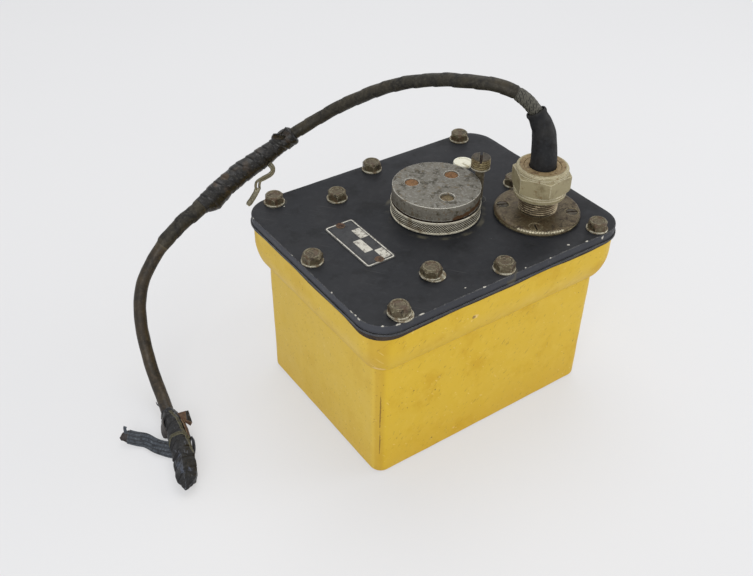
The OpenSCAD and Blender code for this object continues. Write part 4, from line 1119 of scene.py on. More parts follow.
def make_hook():
    """The wire hook in the splice: two wires side by side round its bend, and a flat leg."""
    shape = Shape()
    for line in (HOOK_OUTER, HOOK_INNER):
        places, distance, _ = smooth_line(line, 0.6)
        shape.skin(tube_rings(places, lambda i, a: 0.9 + 0.06 * lumps((distance[i], a, 0), 2.0), 12))
    widths = [(0.0, 4.0), (0.3, 3.7), (0.9, 3.8), (1.0, 2.4)]
    add_strip(shape, HOOK_LEG, widths, 1.3, (-0.48, 0.75, 0.43), rough=0.08)
    return shape.piece("hook", HOOK_WIRE, "box", ["splice_hook"], "olive_steel", 50)


hook = make_hook()


STUMP_LINE = [
    (-171.5, 50, 8), (-173.2, 38, 8.4), (-175.1, 26.5, 8.6), (-177.2, 18.5, 8.6), (-179.4, 10.3, 8.7),
    (-181.4, 3, 8.7), (-183.3, -2.8, 8.2), (-185.7, -8.2, 7.0), (-187.9, -11.9, 5.4),
]
SCARF = [(-175.2, 47.4, 9.0), (-178.2, 43.4, 9.0), (-180.2, 38.4, 8.6), (-180.5, 34.6, 8.2),
         (-179.8, 31.2, 8.2)]
BARB = [(-172.4, 55.6, 8.6), (-173.6, 58.6, 8.6), (-174.2, 61.2, 8.6), (-174.0, 63.0, 9.2)]
OLIVE_BANDS = [  # stations, width and thickness of each
    ([(4.0, 1.4), (12.0, 1.15), (20.0, 1.1), (26.0, 1.0)], 2.2, 0.45),
    ([(28.6, 3.3), (27.0, 2.6), (26.5, 2.0), (27.0, 1.2), (28.6, 0.5)], 2.8, 0.5),
    ([(26.0, 0.9), (31.0, 0.7), (37.0, 0.55), (43.0, 0.45)], 3.0, 0.5),
]


def polygon_radius(angle, corners, turn):
    """How far out a regular polygon reaches, as a share of its mean reach."""
    part = TAU / corners
    off = (angle - turn) % part - part / 2
    return math.cos(part / 2) ** 0.5 / math.cos(off)


def make_stump():
    """The taped end: a scarf, olive bands, and a faceted bandage that ends in a blunt point."""
    places, distance, _ = smooth_line(STUMP_LINE, 0.6)
    total = distance[-1]
    across, up = frames_along(places)
    sides = 48

    def body_at(s, angle):
        body = between(s, (0, 3, 7, 13, 24, 33, 41, 49, 55, 60, 62.6, total),
                       (4.9, 5.4, 6.2, 6.7, 6.8, 6.5, 6.1, 6.9, 6.9, 5.7, 3.4, 1.5))
        facet = 1 + (polygon_radius(angle, 5, 0.55) - 1) * smooth_step(s, 38, 44)
        flat = 1 + 0.6 * (polygon_radius(angle + 0.04 * s, 6, 0.2) - 1) * (1 - smooth_step(s, 34, 40))
        slanted = s + 3.2 * math.sin(angle + 1.1)
        band = (slanted / 8.2) % 1.0
        crease = bell(min(band, 1 - band), 0.06)
        spot = (0.9 * s, 6 * math.cos(angle), 6 * math.sin(angle))
        lump = 0.4 * lumps(spot, 6.0, 4.4) + 0.16 * lumps(spot, 1.9, 2.4)
        fold_at = s + 1.6 * math.cos(angle - 2.6)
        fold = 0.55 * (smooth_step(fold_at, 32, 42) - smooth_step(fold_at, 44.6, 45.2))
        crease = max(crease, bell(fold_at - 45.4, 0.8))
        return body * facet * flat + 0.3 * (band - 0.5) - 0.22 * crease + lump + fold, crease

    def surface(s, angle, above):
        i = min(int(np.searchsorted(distance, s)), len(places) - 1)
        out = math.cos(angle) * across[i] + math.sin(angle) * up[i]
        ahead = np.cross(across[i], up[i])
        slope = -smooth_step(s, 48, 58) * math.cos(angle - 0.3)
        return places[i] + (body_at(s, angle)[0] + above) * out + ahead * slope, out

    rings, laps = [], []
    for s in distance:
        angles = [TAU * k / sides for k in range(sides)]
        rings.append([surface(s, a, 0.0)[0] for a in angles])
        # painted shade in the band creases and the fold
        laps.extend(body_at(s, a)[1] for a in angles)
    shape = Shape()
    shape.skin(rings, marks={"lap": laps})
    add_strip(shape, SCARF, [(0.0, 3.0), (0.3, 7.5), (0.8, 8.0), (1.0, 4.0)], 0.9, (0.35, 0, 0.94),
              paint=2, curl=0.4)
    for stations, width, thick in OLIVE_BANDS:
        add_band(shape, surface, stations, width, thick, paint=1)
    barb, _, _ = smooth_line(BARB, 0.5)
    shape.skin(tube_rings(barb, lambda i, a: 0.75 - 0.6 * i / len(barb), 10))
    return shape.piece("stump", [BANDAGE, OLIVE_TAPE, SCARF_CLOTH], "box", ["cable_stump"], "cable_tape", 50)


stump = make_stump()

CLIP_PANELS = [
    [(-168.9, 42.8, 12.0), (-163.3, 39.9, 14.0), (-165.6, 33.7, 11.6), (-171.2, 32.4, 12.6)],
    [(-163.3, 39.9, 14.0), (-161.4, 40.4, 13.0), (-162.8, 32.4, 10.0), (-165.6, 33.7, 11.6)],
]
CLIP_LIP = [(-167.4, 35.0, 12.3), (-165.6, 32.4, 11.5), (-164.0, 30.5, 10.5)]
CLIP_FLAP = [(-167.9, 34.5, 12.4), (-168.9, 27.4, 12.4), (-170.8, 20.0, 11.8)]
CLIP_STRAP = [(-168.6, 21.0, 10.0), (-169.2, 17.5, 9.4), (-170.7, 13.8, 8.2), (-172.4, 10.6, 6.6)]
TAIL = [(-178.6, 17.6, 6.4), (-182.0, 20.4, 5.8), (-185.4, 24.6, 5.4), (-189.0, 30.2, 5.4),
        (-192.9, 38.2, 5.4), (-196.8, 42.6, 5.4), (-200.6, 47.4, 5.6)]
TAIL_END = [(-200.2, 47.0, 5.6), (-202.4, 48.2, 5.6), (-204.2, 48.9, 5.0), (-205.0, 49.3, 4.4)]
TAIL_TAB = [(-201.0, 47.8, 8.6), (-201.4, 48.2, 10.8), (-201.3, 48.4, 12.8), (-200.8, 48.4, 14.0)]
FACING = (0.34, 0.51, 0.79)


def add_panel(shape, corners, thick, paint=0):
    """A flat plate between four corners, a little buckled."""
    a, b, c, d = (np.array(corner) for corner in corners)
    out = np.cross(b - a, d - a)
    out /= np.linalg.norm(out)
    steps = 8
    rings = []
    for i in range(steps + 1):
        t = i / steps
        start, end = a + (d - a) * t, b + (c - b) * t
        ring = []
        for side in (1, -1):
            for k in range(steps + 1):
                u = k / steps if side == 1 else 1 - k / steps
                place = start + (end - start) * u
                ring.append(place + out * (side * thick / 2 + 0.3 * lumps(place, 4.0, 6.0)))
        rings.append(ring)
    shape.skin(rings, paint=paint)


def make_clip():
    """The rusty clip on the stump: a boxed plate with its lip and flap, and its dark strap."""
    shape = Shape()
    add_panel(shape, CLIP_PANELS[0], 0.8)
    add_panel(shape, CLIP_PANELS[1], 0.7, paint=1)
    add_strip(shape, CLIP_LIP, [(0.0, 1.6), (1.0, 2.4)], 0.9, (0.6, 0.3, 0.7), rough=0.1)
    add_strip(shape, CLIP_FLAP, [(0.0, 4.4), (0.5, 4.0), (1.0, 2.6)], 0.8, (-0.48, 0, 0.87), rough=0.15)
    widths = [(0.0, 1.0), (0.3, 1.9), (0.8, 2.2), (1.0, 1.6)]
    add_strip(shape, CLIP_STRAP, widths, 1.0, (0.85, -0.2, 0.3), paint=1, rough=0.1)
    return shape.piece("clip", [RUST, BANDAGE], "box", ["stump_clip"], "rust_steel", 50)


def make_tail():
    """The loose end of tape: flat and wavy with grooves along it, a folded end and a narrow tab."""
    places, distance, _ = smooth_line(TAIL, 0.6)
    sides, ups = frames_along(places, FACING)
    total = distance[-1]
    rings, folds = [], []
    columns = 30
    for i, place in enumerate(places):
        s = distance[i]
        half = between(s, (0, 6, 14, 24, total), (5.4, 5.2, 4.8, 4.7, 4.6))
        wave = 0.5 * math.sin(s / 3.4) * smooth_step(s, 3, 9)
        ring = []
        for side in (1, -1):
            for k in range(columns):
                u = (k / (columns - 1) * 2 - 1) * side
                groove = math.sin(13 * u + 0.2 * s + 0.8 * lumps((s, u, 0), 9.0))
                cup = 0.7 * u * u
                thick = 0.7 * math.sqrt(max(1 - u ** 6, 0.02))
                rise = wave + 0.16 * groove + cup + side * thick
                ring.append(place + sides[i] * half * u + ups[i] * rise)
                # painted shade in the hollows of the grooves
                folds.append(max(0.0, -groove) * 0.7)
        rings.append(ring)
    shape = Shape()
    shape.skin(rings, marks={"lap": folds})
    add_strip(shape, TAIL_END, [(0.0, 8.4), (0.5, 6.4), (1.0, 2.6)], 1.2, FACING, paint=1, curl=0.3)
    add_strip(shape, TAIL_TAB, [(0.0, 2.6), (0.6, 1.9), (1.0, 2.2)], 0.7, (0.82, -0.57, 0))
    return shape.piece("loose_tape", [TAIL_TAPE, SCARF_CLOTH], "box", ["tape_tail"], "cable_tape", 55)


clip = make_clip()
tail = make_tail()


def make_boot():
    """The rubber boot: slightly waisted, with a rolled lip round its open mouth."""
    places, distance, _ = smooth_line(ROUTE[: BOOT_END + 1], 0.7)
    total = distance[-1]

    def radius_at(i, angle):
        s = distance[i]
        body = between(s, (0, 10, 18, 26, 34, total - 2.5, total),
                       (8.0, 8.0, 7.75, 7.3, 6.55, 5.85, 5.9))
        lip = 0.42 * bell(s - total + 1.3, 1.0)
        return body + lip + 0.1 * lumps((places[i][2], 3 * math.cos(angle), 3 * math.sin(angle)), 5.0, 0.8)

    sides = 48
    rings = tube_rings(places, radius_at, sides)
    across, up = frames_along(places)

    def inner(i, radius, ahead=0.0):
        direction = places[-1] - places[-2]
        centre = places[i] + direction / np.linalg.norm(direction) * ahead
        ring = []
        for k in range(sides):
            angle = TAU * k / sides
            ring.append(centre + radius * (math.cos(angle) * across[i] + math.sin(angle) * up[i]))
        return ring

    rings.append(inner(-1, 5.6, 0.25))
    rings.append(inner(-1, 5.25, 0.1))
    rings.append(inner(-1, 5.0, -0.8))
    rings.append(inner(-5, 4.75))
    shape = Shape()
    shape.skin(rings)
    braid = [inner(-7, 4.05), inner(-5, 4.05), inner(-3, 4.05), inner(-1, 4.05, -0.05)]
    points = sides * len(braid)
    # the braid in the mouth takes half of the painted shade of the braid's gaps
    shape.skin(braid, paint=1, marks={"weave": [0.5] * points, "braid": [1.0] * points})
    return shape.piece("boot", [RUBBER, TAPE], "box", ["cable_boot"], "black_rubber", 50)


make_boot()

# ---------------------------------------------------------------- the case, lid and gasket


def flange_screw_places():
    """Where the gland's four screws stand."""
    return [on_circle(GLAND_AT, FLANGE_CIRCLE, math.radians(45 + 90 * k)) for k in range(4)]


def cap_screw_places():
    """Where the cap's three screws stand."""
    return [on_circle(CAP_AT, CAP_CIRCLE, math.radians(16.5 + 120 * k)) for k in range(3)]


def inset_outline(inset, height, wobble, seed):
    """The lid's outline, set in by that much, with a slight unevenness."""
    uneven = []
    for x, y, z in rounded_outline(HALF_L - inset, HALF_W - inset, CORNER_R - inset, height):
        push = wobble * lumps((x, y, z), 14.0, seed)
        length = math.hypot(x, y)
        uneven.append((x + push * x / length, y + push * y / length, z))
    return uneven


def drill(piece, holes, sides):
    """Cuts round holes into a piece; each hole is (x, y, from z, to z, radius)."""
    cutter = Shape()
    for x, y, low, high, radius in holes:
        cutter.skin(turned([(radius, low), (radius, high)], sides, (x, y)))
    cut(piece, cutter)


def cut(piece, cutter):
    """Takes the cutter's solids out of a piece."""
    block = new_object("cutter", cutter.mesh("cutter", [None] * len(piece.data.materials)))
    modifier = piece.modifiers.new("holes", "BOOLEAN")
    modifier.operation = "DIFFERENCE"
    modifier.solver = "EXACT"
    modifier.object = block
    bpy.context.view_layer.update()
    result = bpy.data.meshes.new_from_object(piece.evaluated_get(bpy.context.evaluated_depsgraph_get()))
    piece.modifiers.clear()
    soften(result, 35)
    piece.data = result
    bpy.data.objects.remove(block)


def make_case():
    """The moulded case: draft, rounded foot, flared collar, and its room inside."""
    def wall(inset, height):
        return inset_outline(inset, height, 0.22, 2.0)

    rings = []
    for k in range(7):
        a = math.pi / 2 * k / 6
        rings.append(wall(WALL_IN + 0.5 + 3 * (1 - math.sin(a)), 3 * (1 - math.cos(a))))
    for k in range(1, 30):
        t = k / 30
        rings.append(wall(WALL_IN + 0.5 * (1 - t), 3 + (COLLAR_Z - 3) * t))
    for k in range(15):
        t = 1 - k / 14
        out = (WALL_IN - COLLAR_IN) * (1 - t ** 1.6) ** (1 / 1.6)
        rings.append(wall(WALL_IN - out, COLLAR_Z + COLLAR_ROUND * (1 - t)))
    band = CASE_H - 0.7 - COLLAR_Z - COLLAR_ROUND
    for k in range(1, 6):
        rings.append(wall(COLLAR_IN, COLLAR_Z + COLLAR_ROUND + band * k / 5))
    rings.append(wall(COLLAR_IN + 0.2, CASE_H - 0.2))
    rings.append(wall(COLLAR_IN + 0.7, CASE_H))
    rings.append(rounded_outline(*ROOM, CASE_H))
    rings.append(rounded_outline(*ROOM, ROOM_FLOOR))
    shape = Shape()
    shape.skin(rings)
    piece = shape.piece("moulded_case", YELLOW, "box", ["case"], "yellow_moulding", 40)
    drill(piece, [(x, y, CASE_H - 12, CASE_H + 2, INSERT_HOLE) for x, y in EDGE_BOLTS], 32)
    return piece


def lid_holes(low, high):
    """The holes that everything on the lid passes through."""
    holes = [(x, y, low, high, BOLT_HOLE) for x, y in EDGE_BOLTS + INNER_BOLTS]
    holes.append((*CAP_AT, low, high, 22.52))
    holes.append((*LOCK_AT, low, high, 5.02))
    holes.append((*GLAND_AT, low, high, 11.02))
    holes.extend((x, y, low, high, SCREW_HOLE) for x, y in flange_screw_places())
    holes.append((*PLUG_AT, low, high, 4.52))
    holes.extend((x, y, low, high, 1.52) for x, y in RIVETS)
    return holes


def make_slab(name, finish, node, slot, out, low, high, edge, wobble):
    """A plate of the lid's outline, with worn round edges and its holes."""
    shape = Shape()
    rings = []
    for inset, z in ((0.25, low), (0.08, low + 0.08), (0, low + 0.25), (0, (low + high) / 2),
                     (0, high - edge), (edge * 0.3, high - edge * 0.3), (edge, high), (edge + 4, high)):
        ring = inset_outline(inset - out, z, wobble, high)
        if z > high - edge * 1.2 and inset < edge + 1:
            ring = [(x, y, h - 0.16 * max(0.0, lumps((x, y, 0), 5.0, 3.0))) for x, y, h in ring]
        rings.append(ring)
    shape.skin(rings)
    piece = shape.piece(name, finish, "box", [node], slot, 40)
    drill(piece, lid_holes(low - 2, high + 2), 48)
    return piece


def make_gasket():
    """The gasket between lid and case, squeezed out a little unevenly."""
    rings = []
    for inset, z, hang in ((1.4, CASE_H, 0.0), (0.75, CASE_H - 0.3, 1.2), (0.4, CASE_H - 0.2, 1.1),
                           (0.2, CASE_H + 0.3, 0.4), (0.3, CASE_H + 0.95, 0.0), (0.5, BACKING_Z, 0.0)):
        ring = inset_outline(inset, z, 0.3, 9.0)
        slack = [math.exp(-((x + 88) ** 2 + (y + 68) ** 2) / 500) for x, y, _ in ring]
        rings.append([(x, y, h - hang * (max(0.0, 0.5 + lumps((x, y, 0), 26.0, 5.0)) + 1.2 * loose))
                      for (x, y, h), loose in zip(ring, slack)])
    rings.append(rounded_outline(*ROOM, BACKING_Z))
    rings.append(rounded_outline(*ROOM, CASE_H))
    shape = Shape()
    shape.skin(rings, joined=True)
    piece = shape.piece("gasket", GASKET, "box", ["lid_gasket"], "brown_gasket", 40)
    drill(piece, [(x, y, CASE_H - 2, BACKING_Z + 2, BOLT_HOLE) for x, y in EDGE_BOLTS], 32)
    return piece


make_case()
make_slab("lid_plate", BLACK, "lid", "black_paint", 0.0, BACKING_TOP, TOP, 0.8, 0.12)
make_slab("backing_plate", BLACK, "lid_backing", "black_paint", 0.7, BACKING_Z, BACKING_TOP, 0.3, 0.18)
make_gasket()

# ---------------------------------------------------------------- bolts, washers, plate, plug


def add_bolt(shape, x, y, base, turn, reach, seed):
    """One old hexagon bolt: worn corners, chamfer, a dished top and its shank."""
    sides = 60
    flats, head = 11.2, 5.0  # width across flats, and height of the head
    tilt_x, tilt_y = 0.012 * lumps((seed, 0, 0), 1.0), 0.012 * lumps((0, seed, 5), 1.0)

    def radius_at(limit, height, angle):
        hexed = hexagon_radius(angle, flats, math.radians(turn))
        r = min(limit, hexed)
        return r + 0.05 * lumps(around(angle, 3, height + seed), 1.6)

    profile = [(SHANK_R, -reach), (SHANK_R, 0.0), (9.0, 0.0), (9.0, 0.35), (9.0, head - 1.6),
               (6.05, head - 1.3), (5.55, head - 0.7), (5.15, head - 0.2), (4.85, head), (4.3, head - 0.02),
               (3.9, head - 0.25), (3.4, head - 0.62), (2.2, head - 0.7), (0.8, head - 0.66)]
    rings = []
    for limit, height in profile:
        ring = []
        for k in range(sides):
            angle = TAU * k / sides + math.radians(turn)
            if height <= 0 and limit <= SHANK_R:
                r = limit
            else:
                r = radius_at(limit, height, angle)
            px, py = r * math.cos(angle), r * math.sin(angle)
            lift = tilt_x * px + tilt_y * py if height > 0.1 else 0.0
            ring.append((x + px, y + py, base + height + lift))
        rings.append(ring)
    shape.skin(rings)


def washer_rings(x, y, base, thick, outer, inner, seed, sides=48):
    """A flat ring with soft edges and a little wear."""
    edge = min(0.25, thick * 0.3)
    profile = [(inner, 0), (outer - edge, 0), (outer, edge), (outer, thick - edge), (outer - edge, thick),
               (inner + edge, thick), (inner, thick - edge)]

    def radius_at(radius, height, angle):
        worn_by = 0.12 * lumps(around(angle, 3, seed), 1.5)
        return radius + (worn_by if radius > inner + 0.5 else 0.0)

    return turned(raised(base, profile), sides, (x, y), radius_at)


def make_bolts(name, node, places, turn, reach):
    """Bolts at those places, each turned a little further than the one before."""
    shape = Shape()
    for i, (x, y) in enumerate(places):
        base = TOP + WASHER_T + (PACKING_T if (x, y) in PACKED else 0.0)
        add_bolt(shape, x, y, base, turn * i, reach + base - TOP, 3.7 * i + turn)
    return shape.piece(name, BOLT, "box", [node], "olive_steel", 25)


def make_washers():
    """The washers under the bolts, and the loose packing washers under two of them."""
    flat, packing = Shape(), Shape()
    for i, (x, y) in enumerate(EDGE_BOLTS + INNER_BOLTS):
        base = TOP + (PACKING_T if (x, y) in PACKED else 0.0)
        flat.skin(washer_rings(x, y, base, WASHER_T, WASHER_R, BOLT_HOLE, 2.3 * i), joined=True)
    for i, ((x, y), (dx, dy)) in enumerate(PACKED.items()):
        packing.skin(washer_rings(x + dx, y + dy, TOP, PACKING_T, WASHER_R, 4.9, 5.1 * i), joined=True)
    flat.piece("flat_washers", WASHER, "box", ["bolt_washers"], "washer_steel", 40)
    packing.piece("loose_washers", WASHER, "box", ["packing_washers"], "washer_steel", 40)


WHITE_FIELDS = ((-52.2, -46.6, 3.2, 13.3), (-58.2, -52.6, -10.5, 2.7), (-52.3, -46.7, -21.0, -11.4))


def make_data_plate():
    """The bare data plate: thin white border and three white fields, no words."""
    shape = Shape()
    cx, cy = PLATE_AT

    def ring(inset, z):
        outline = rounded_outline(10.3 - inset, 24.0 - inset, max(2.4 - inset, 0.6), z, 6, 10, 20)
        return [(cx + x, cy + y, z + 0.05 * lumps((x, y, 0), 9.0, 4.0)) for x, y, z in outline]

    low, high = TOP, TOP + 0.55
    edge = [ring(0.1, low), ring(0.0, low + 0.2), ring(0.0, high - 0.15), ring(0.15, high), ring(0.7, high)]
    border = [ring(0.7, high), ring(0.7, high + 0.03), ring(1.5, high + 0.03), ring(1.5, high)]
    shape.skin(edge, ends=False)
    shape.skin(border, paint=1, ends=False)
    shape.skin([ring(1.5, high), ring(3.0, high)], ends=False)
    count = len(edge[0])
    shape.faces.append(list(range(len(shape.points) - count, len(shape.points))))
    shape.faces.append(list(range(count)))
    shape.paint.extend((0, 0))
    for x0, x1, y0, y1 in WHITE_FIELDS:
        mx, my = (x0 + x1) / 2, (y0 + y1) / 2
        field = []
        for inset, z in ((0.0, high - 0.05), (0.0, high + 0.05), (0.15, high + 0.07)):
            outline = rounded_outline((x1 - x0) / 2 - inset, (y1 - y0) / 2 - inset, 0.4, z, 3, 4, 6)
            field.append([(mx + x, my + y, z + 0.05 * lumps((mx + x - cx, my + y - cy, 0), 9.0, 4.0))
                          for x, y, z in outline])
        shape.skin(field, paint=1)
    piece = shape.piece("plate", [PLATE, LABEL_WHITE], "box", ["data_plate"], "plate_black", 40)
    work = bmesh.new()
    work.from_mesh(piece.data)
    bmesh.ops.remove_doubles(work, verts=work.verts, dist=1e-6)
    work.to_mesh(piece.data)
    work.free()
    return piece


def make_rivets():
    """The plate's two domed rivets."""
    shape = Shape()
    top = TOP + 0.6
    for i, (x, y) in enumerate(RIVETS):
        profile = [(1.5, TOP - 4), (1.5, TOP + 0.3), (2.5, top - 0.05), (2.85, top + 0.1), (2.7, top + 0.3),
                   (2.1, top + 0.5), (1.0, top + 0.62), (0.2, top + 0.64)]
        shape.skin(turned(profile, 32, (x, y),
                          lambda r, z, a: r + 0.08 * lumps(around(a, 1, z + i), 0.7)))
    return shape.piece("rivets", RUST, "box", ["plate_rivets"], "rust_steel", 40)


def make_plug():
    """The blank plug: a shallow dish with a raised rim and a small tongue across it."""
    x, y = PLUG_AT
    profile = raised(TOP, [(4.5, -9), (4.5, 0), (6.6, 0), (6.9, 0.4), (6.85, 1.3), (6.5, 1.75), (5.9, 1.8),
                           (5.4, 1.6), (5.15, 1.15), (4.2, 1.05), (1.0, 1.1)])
    shape = Shape()
    shape.skin(turned(profile, 64, (x, y),
                      lambda r, z, a: r + 0.06 * lumps(around(a, 4, z), 2.0)))
    tongue = []
    for inset, z in ((0.0, TOP + 0.9), (0.0, TOP + 1.7), (0.3, TOP + 1.98)):
        outline = rounded_outline(1.2 - inset, 2.6 - inset, 0.7, z, 4, 3, 5)
        tongue.append([(x + a, y - 3.3 + b, c) for a, b, c in outline])
    shape.skin(tongue)
    return shape.piece("plug", CREAM, "box", ["blank_plug"], "cream_plastic", 40)


make_bolts("lid_bolts", "edge_bolts", EDGE_BOLTS, 17, 18.2)
make_bolts("pillar_bolts", "inner_bolts", INNER_BOLTS, 23, 19.0)
make_washers()
make_data_plate()
make_rivets()
make_plug()

# ---------------------------------------------------------------- the screw cap and its lock


def make_cap_disc():
    """The cap's top: pitted, with a worn rim and three holes over its screws."""
    low, high, outer = TOP + 10.2, CAP_TOP, 27.5
    sides = 144
    profile = [(0.5, low + 2.8), (26.02, low + 2.8), (26.02, low), (outer - 0.35, low), (outer, low + 0.35),
               (outer, low + 2.5), (outer, low + 5.0), (outer, high - 0.5), (outer - 0.14, high - 0.14),
               (outer - 0.45, high), (outer - 1.2, high)]
    profile.extend((r, high) for r in (25.4, 24.0, 22.0, 20.0, 18.0, 15.5, 13.0, 10.5, 8.0, 5.5, 3.0, 1.0))

    def radius_at(radius, height, angle):
        if radius > 26.5 and height > low + 0.2:
            return radius + 0.1 * lumps(around(angle, 20, height), 4.0)
        return radius

    rings = []
    for ring in turned(profile, sides, CAP_AT, radius_at):
        bumpy = []
        for x, y, z in ring:
            if z > high - 0.3:
                z += 0.07 * lumps((x, y, 0), 7.0, 2.0) - 0.1 * max(0.0, lumps((x, y, 9), 2.2, 4.0) - 0.35)
            bumpy.append((x, y, min(z, high)))
        rings.append(bumpy)
    shape = Shape()
    shape.skin(rings)
    shape.paint_rings(sides, lambda ring: 3 <= ring <= 8)  # the disc's side
    piece = shape.piece("cap_top", [CAP_METAL, CAP_SIDE], "cap", ["cap_disc"], "cap_alloy", 40)
    holes = Shape()
    for x, y in cap_screw_places():
        profile = [(2.05, low - 2), (2.05, high - 4), (4.3, high - 4), (4.3, high - 0.5), (4.5, high - 0.2),
                   (4.85, high + 0.05), (4.85, high + 2)]
        holes.skin(turned(profile, 48, (x, y)))
    cut(piece, holes)
    return piece


def make_cap_ring():
    """The knurled ring: diamond points between two plain lips, and the neck over it, dark with painted shade
    in the gap.
    """
    low, outer = TOP + 0.8, 28.2
    sides = 6 * KNURLS
    heights = [0.0, 0.3, 0.9, 1.1]
    heights.extend(1.3 + 0.3 * k for k in range(20))
    heights.extend((7.2, 7.4, 8.3, 8.6))
    grooves = []
    rings = []

    def knurl(angle, z):
        u = angle / TAU * KNURLS
        v = (z - 1.3) / 1.65
        a = abs((u + v) % 1.0 - 0.5) * 2
        b = abs((u - v) % 1.0 - 0.5) * 2
        return min(a, b)

    for z in heights:
        ring = []
        for k in range(sides):
            angle = TAU * k / sides
            groove = 0.0
            if 1.2 < z < 7.1:
                # the groove mark paints shade in the knurl's hollows
                groove = 1 - knurl(angle, z)
                r = outer - 0.12 - 0.62 * groove * (0.75 + 0.25 * lumps(around(angle, 20, z), 5.0))
            elif z in (1.1, 7.2):
                r = outer - 0.45
            else:
                # the plain lips take a little of the painted groove shade
                groove = 0.38
                r = outer - (0.3 if z in (0.0, 8.6) else 0.0)
                r += 0.06 * lumps(around(angle, 20, z), 2.5)
            grooves.append(groove)
            ring.append((*on_circle(CAP_AT, r, angle), low + z))
        rings.append(ring)
    neck = [(26.4, 8.6), (26.0, 8.5), (26.0, 12.1), (22.8, 12.1), (22.8, 8.6), (22.55, 8.4), (22.55, 0.0)]
    for r, z in neck:
        rings.append([(*on_circle(CAP_AT, r, TAU * k / sides), low + z) for k in range(sides)])
        grooves.extend([0.0] * sides)
    shape = Shape()
    shape.skin(rings, joined=True, marks={"groove": grooves})
    # the neck takes the dark groove finish: painted shade in the gap under the cap's top
    first_neck = len(heights) - 1
    shape.paint_rings(sides, lambda ring: first_neck <= ring < first_neck + 4)
    return shape.piece("knurled_ring", [KNURL, GROOVE], "cap", ["cap_ring"], "cap_alloy", 40)


def make_cap_screws():
    """The screws deep in the cap, two of them under a crust of rust that nearly fills the hole."""
    shape = Shape()
    high = CAP_TOP
    for k, (x, y) in enumerate(cap_screw_places()):
        full = k != 2
        top = high - (0.4 if full else 1.0)
        profile = [(2.0, TOP + 9.0), (2.0, high - 3.9), (4.1, high - 3.9), (4.15, top - 0.35), (3.8, top),
                   (2.6, top), (1.8, top), (0.9, top)]
        rings = []
        for ring in turned(profile, 40, (x, y)):
            crust = []
            for px, py, pz in ring:
                if pz > top - 0.1:
                    pz += (0.3 if full else 0.14) * lumps((px, py, k), 1.3, 2.0 + k)
                crust.append((px, py, min(pz, high - 0.05)))
            rings.append(crust)
        shape.skin(rings, paint=0 if full else 1)
    return shape.piece("rusty_screws", [ORANGE_RUST, DARK_BRASS], "cap", ["cap_screws"], "rust_steel", 60)


def add_slot(shape, place, turn, reach, section, base, paint):
    """A straight slot to be cut; its section holds (side, height) points."""
    along = np.array((math.cos(turn), math.sin(turn)))
    across = np.array((-along[1], along[0]))
    rings = []
    for end in (-reach, reach):
        ring = []
        for side, z in section:
            x, y = np.array(place) + along * end + across * side
            ring.append((x, y, base + z))
        rings.append(ring)
    shape.skin(rings, paint=paint)


def make_lock_screw():
    """The lock screw: dark stem, ringed head with a slot and fine teeth round its top."""
    head = LOCK_HEAD
    sides = 176
    profile = [(3.0, TOP - 13), (3.0, TOP + 1.0)]
    z = TOP + 1.0
    while z < head - 1.5:
        profile.extend(((2.98, z), (2.78, z + 0.25), (2.98, z + 0.5)))
        z += LOCK_PITCH
    profile.extend(((3.0, head - 0.2), (3.0, head), (5.5, head + 0.02), (5.5, head + 0.2)))
    for k in range(4):
        low = head + 0.2 + 1.6 * k
        profile.extend(((6.0, low + 0.02), (6.1, low + 0.2), (6.1, low + 0.8), (6.0, low + 1.0)))
        if k < 3:
            profile.extend(((5.55, low + 1.05), (5.55, low + 1.55)))
    profile.extend(((5.85, head + 6.3), (5.8, head + 6.75), (5.4, head + 6.98), (3.5, head + 7.0),
                    (1.0, head + 7.0)))

    def radius_at(radius, height, angle):
        if radius > 5.7:
            teeth = 0.09 if height > head + 4.5 else 0.03
            toothed = radius - teeth * (1 + math.cos(LOCK_TEETH * angle)) / 2
            return toothed + 0.04 * lumps(around(angle, 1, height), 0.8)
        return radius

    shape = Shape()
    shape.skin(turned(profile, sides, LOCK_AT, radius_at))
    under_head = next(i for i, (_, z) in enumerate(profile) if z >= head)
    top_face = len(profile) - 5
    shape.paint_rings(sides, lambda ring: not under_head <= ring < top_face)
    piece = shape.piece("lock_screw_body", [DARK_BRASS, DULL_BRASS, GROOVE], "lock_screw", ["lock_screw"],
                        "dark_brass", 35)
    slot = Shape()
    section = ((-0.8, 4.8), (0.8, 4.8), (1.0, 8.0), (-1.0, 8.0))
    # the slot's walls take the dark groove finish: painted shade in the slot
    add_slot(slot, LOCK_AT, LOCK_SLOT_TURN, 9, section, head, paint=2)
    cut(piece, slot)
    return piece


def make_lock_washer():
    """The thin washer under the lock screw's head."""
    shape = Shape()
    shape.skin(washer_rings(*LOCK_AT, LOCK_HEAD - 1.0, 1.0, 6.1, 3.05, 1.0), joined=True)
    return shape.piece("lock_ring", WASHER, "lock_washer", ["lock_washer"], "washer_steel", 40)


make_cap_disc()
make_cap_ring()
make_cap_screws()
make_lock_screw()
make_lock_washer()

# ---------------------------------------------------------------- the cable gland


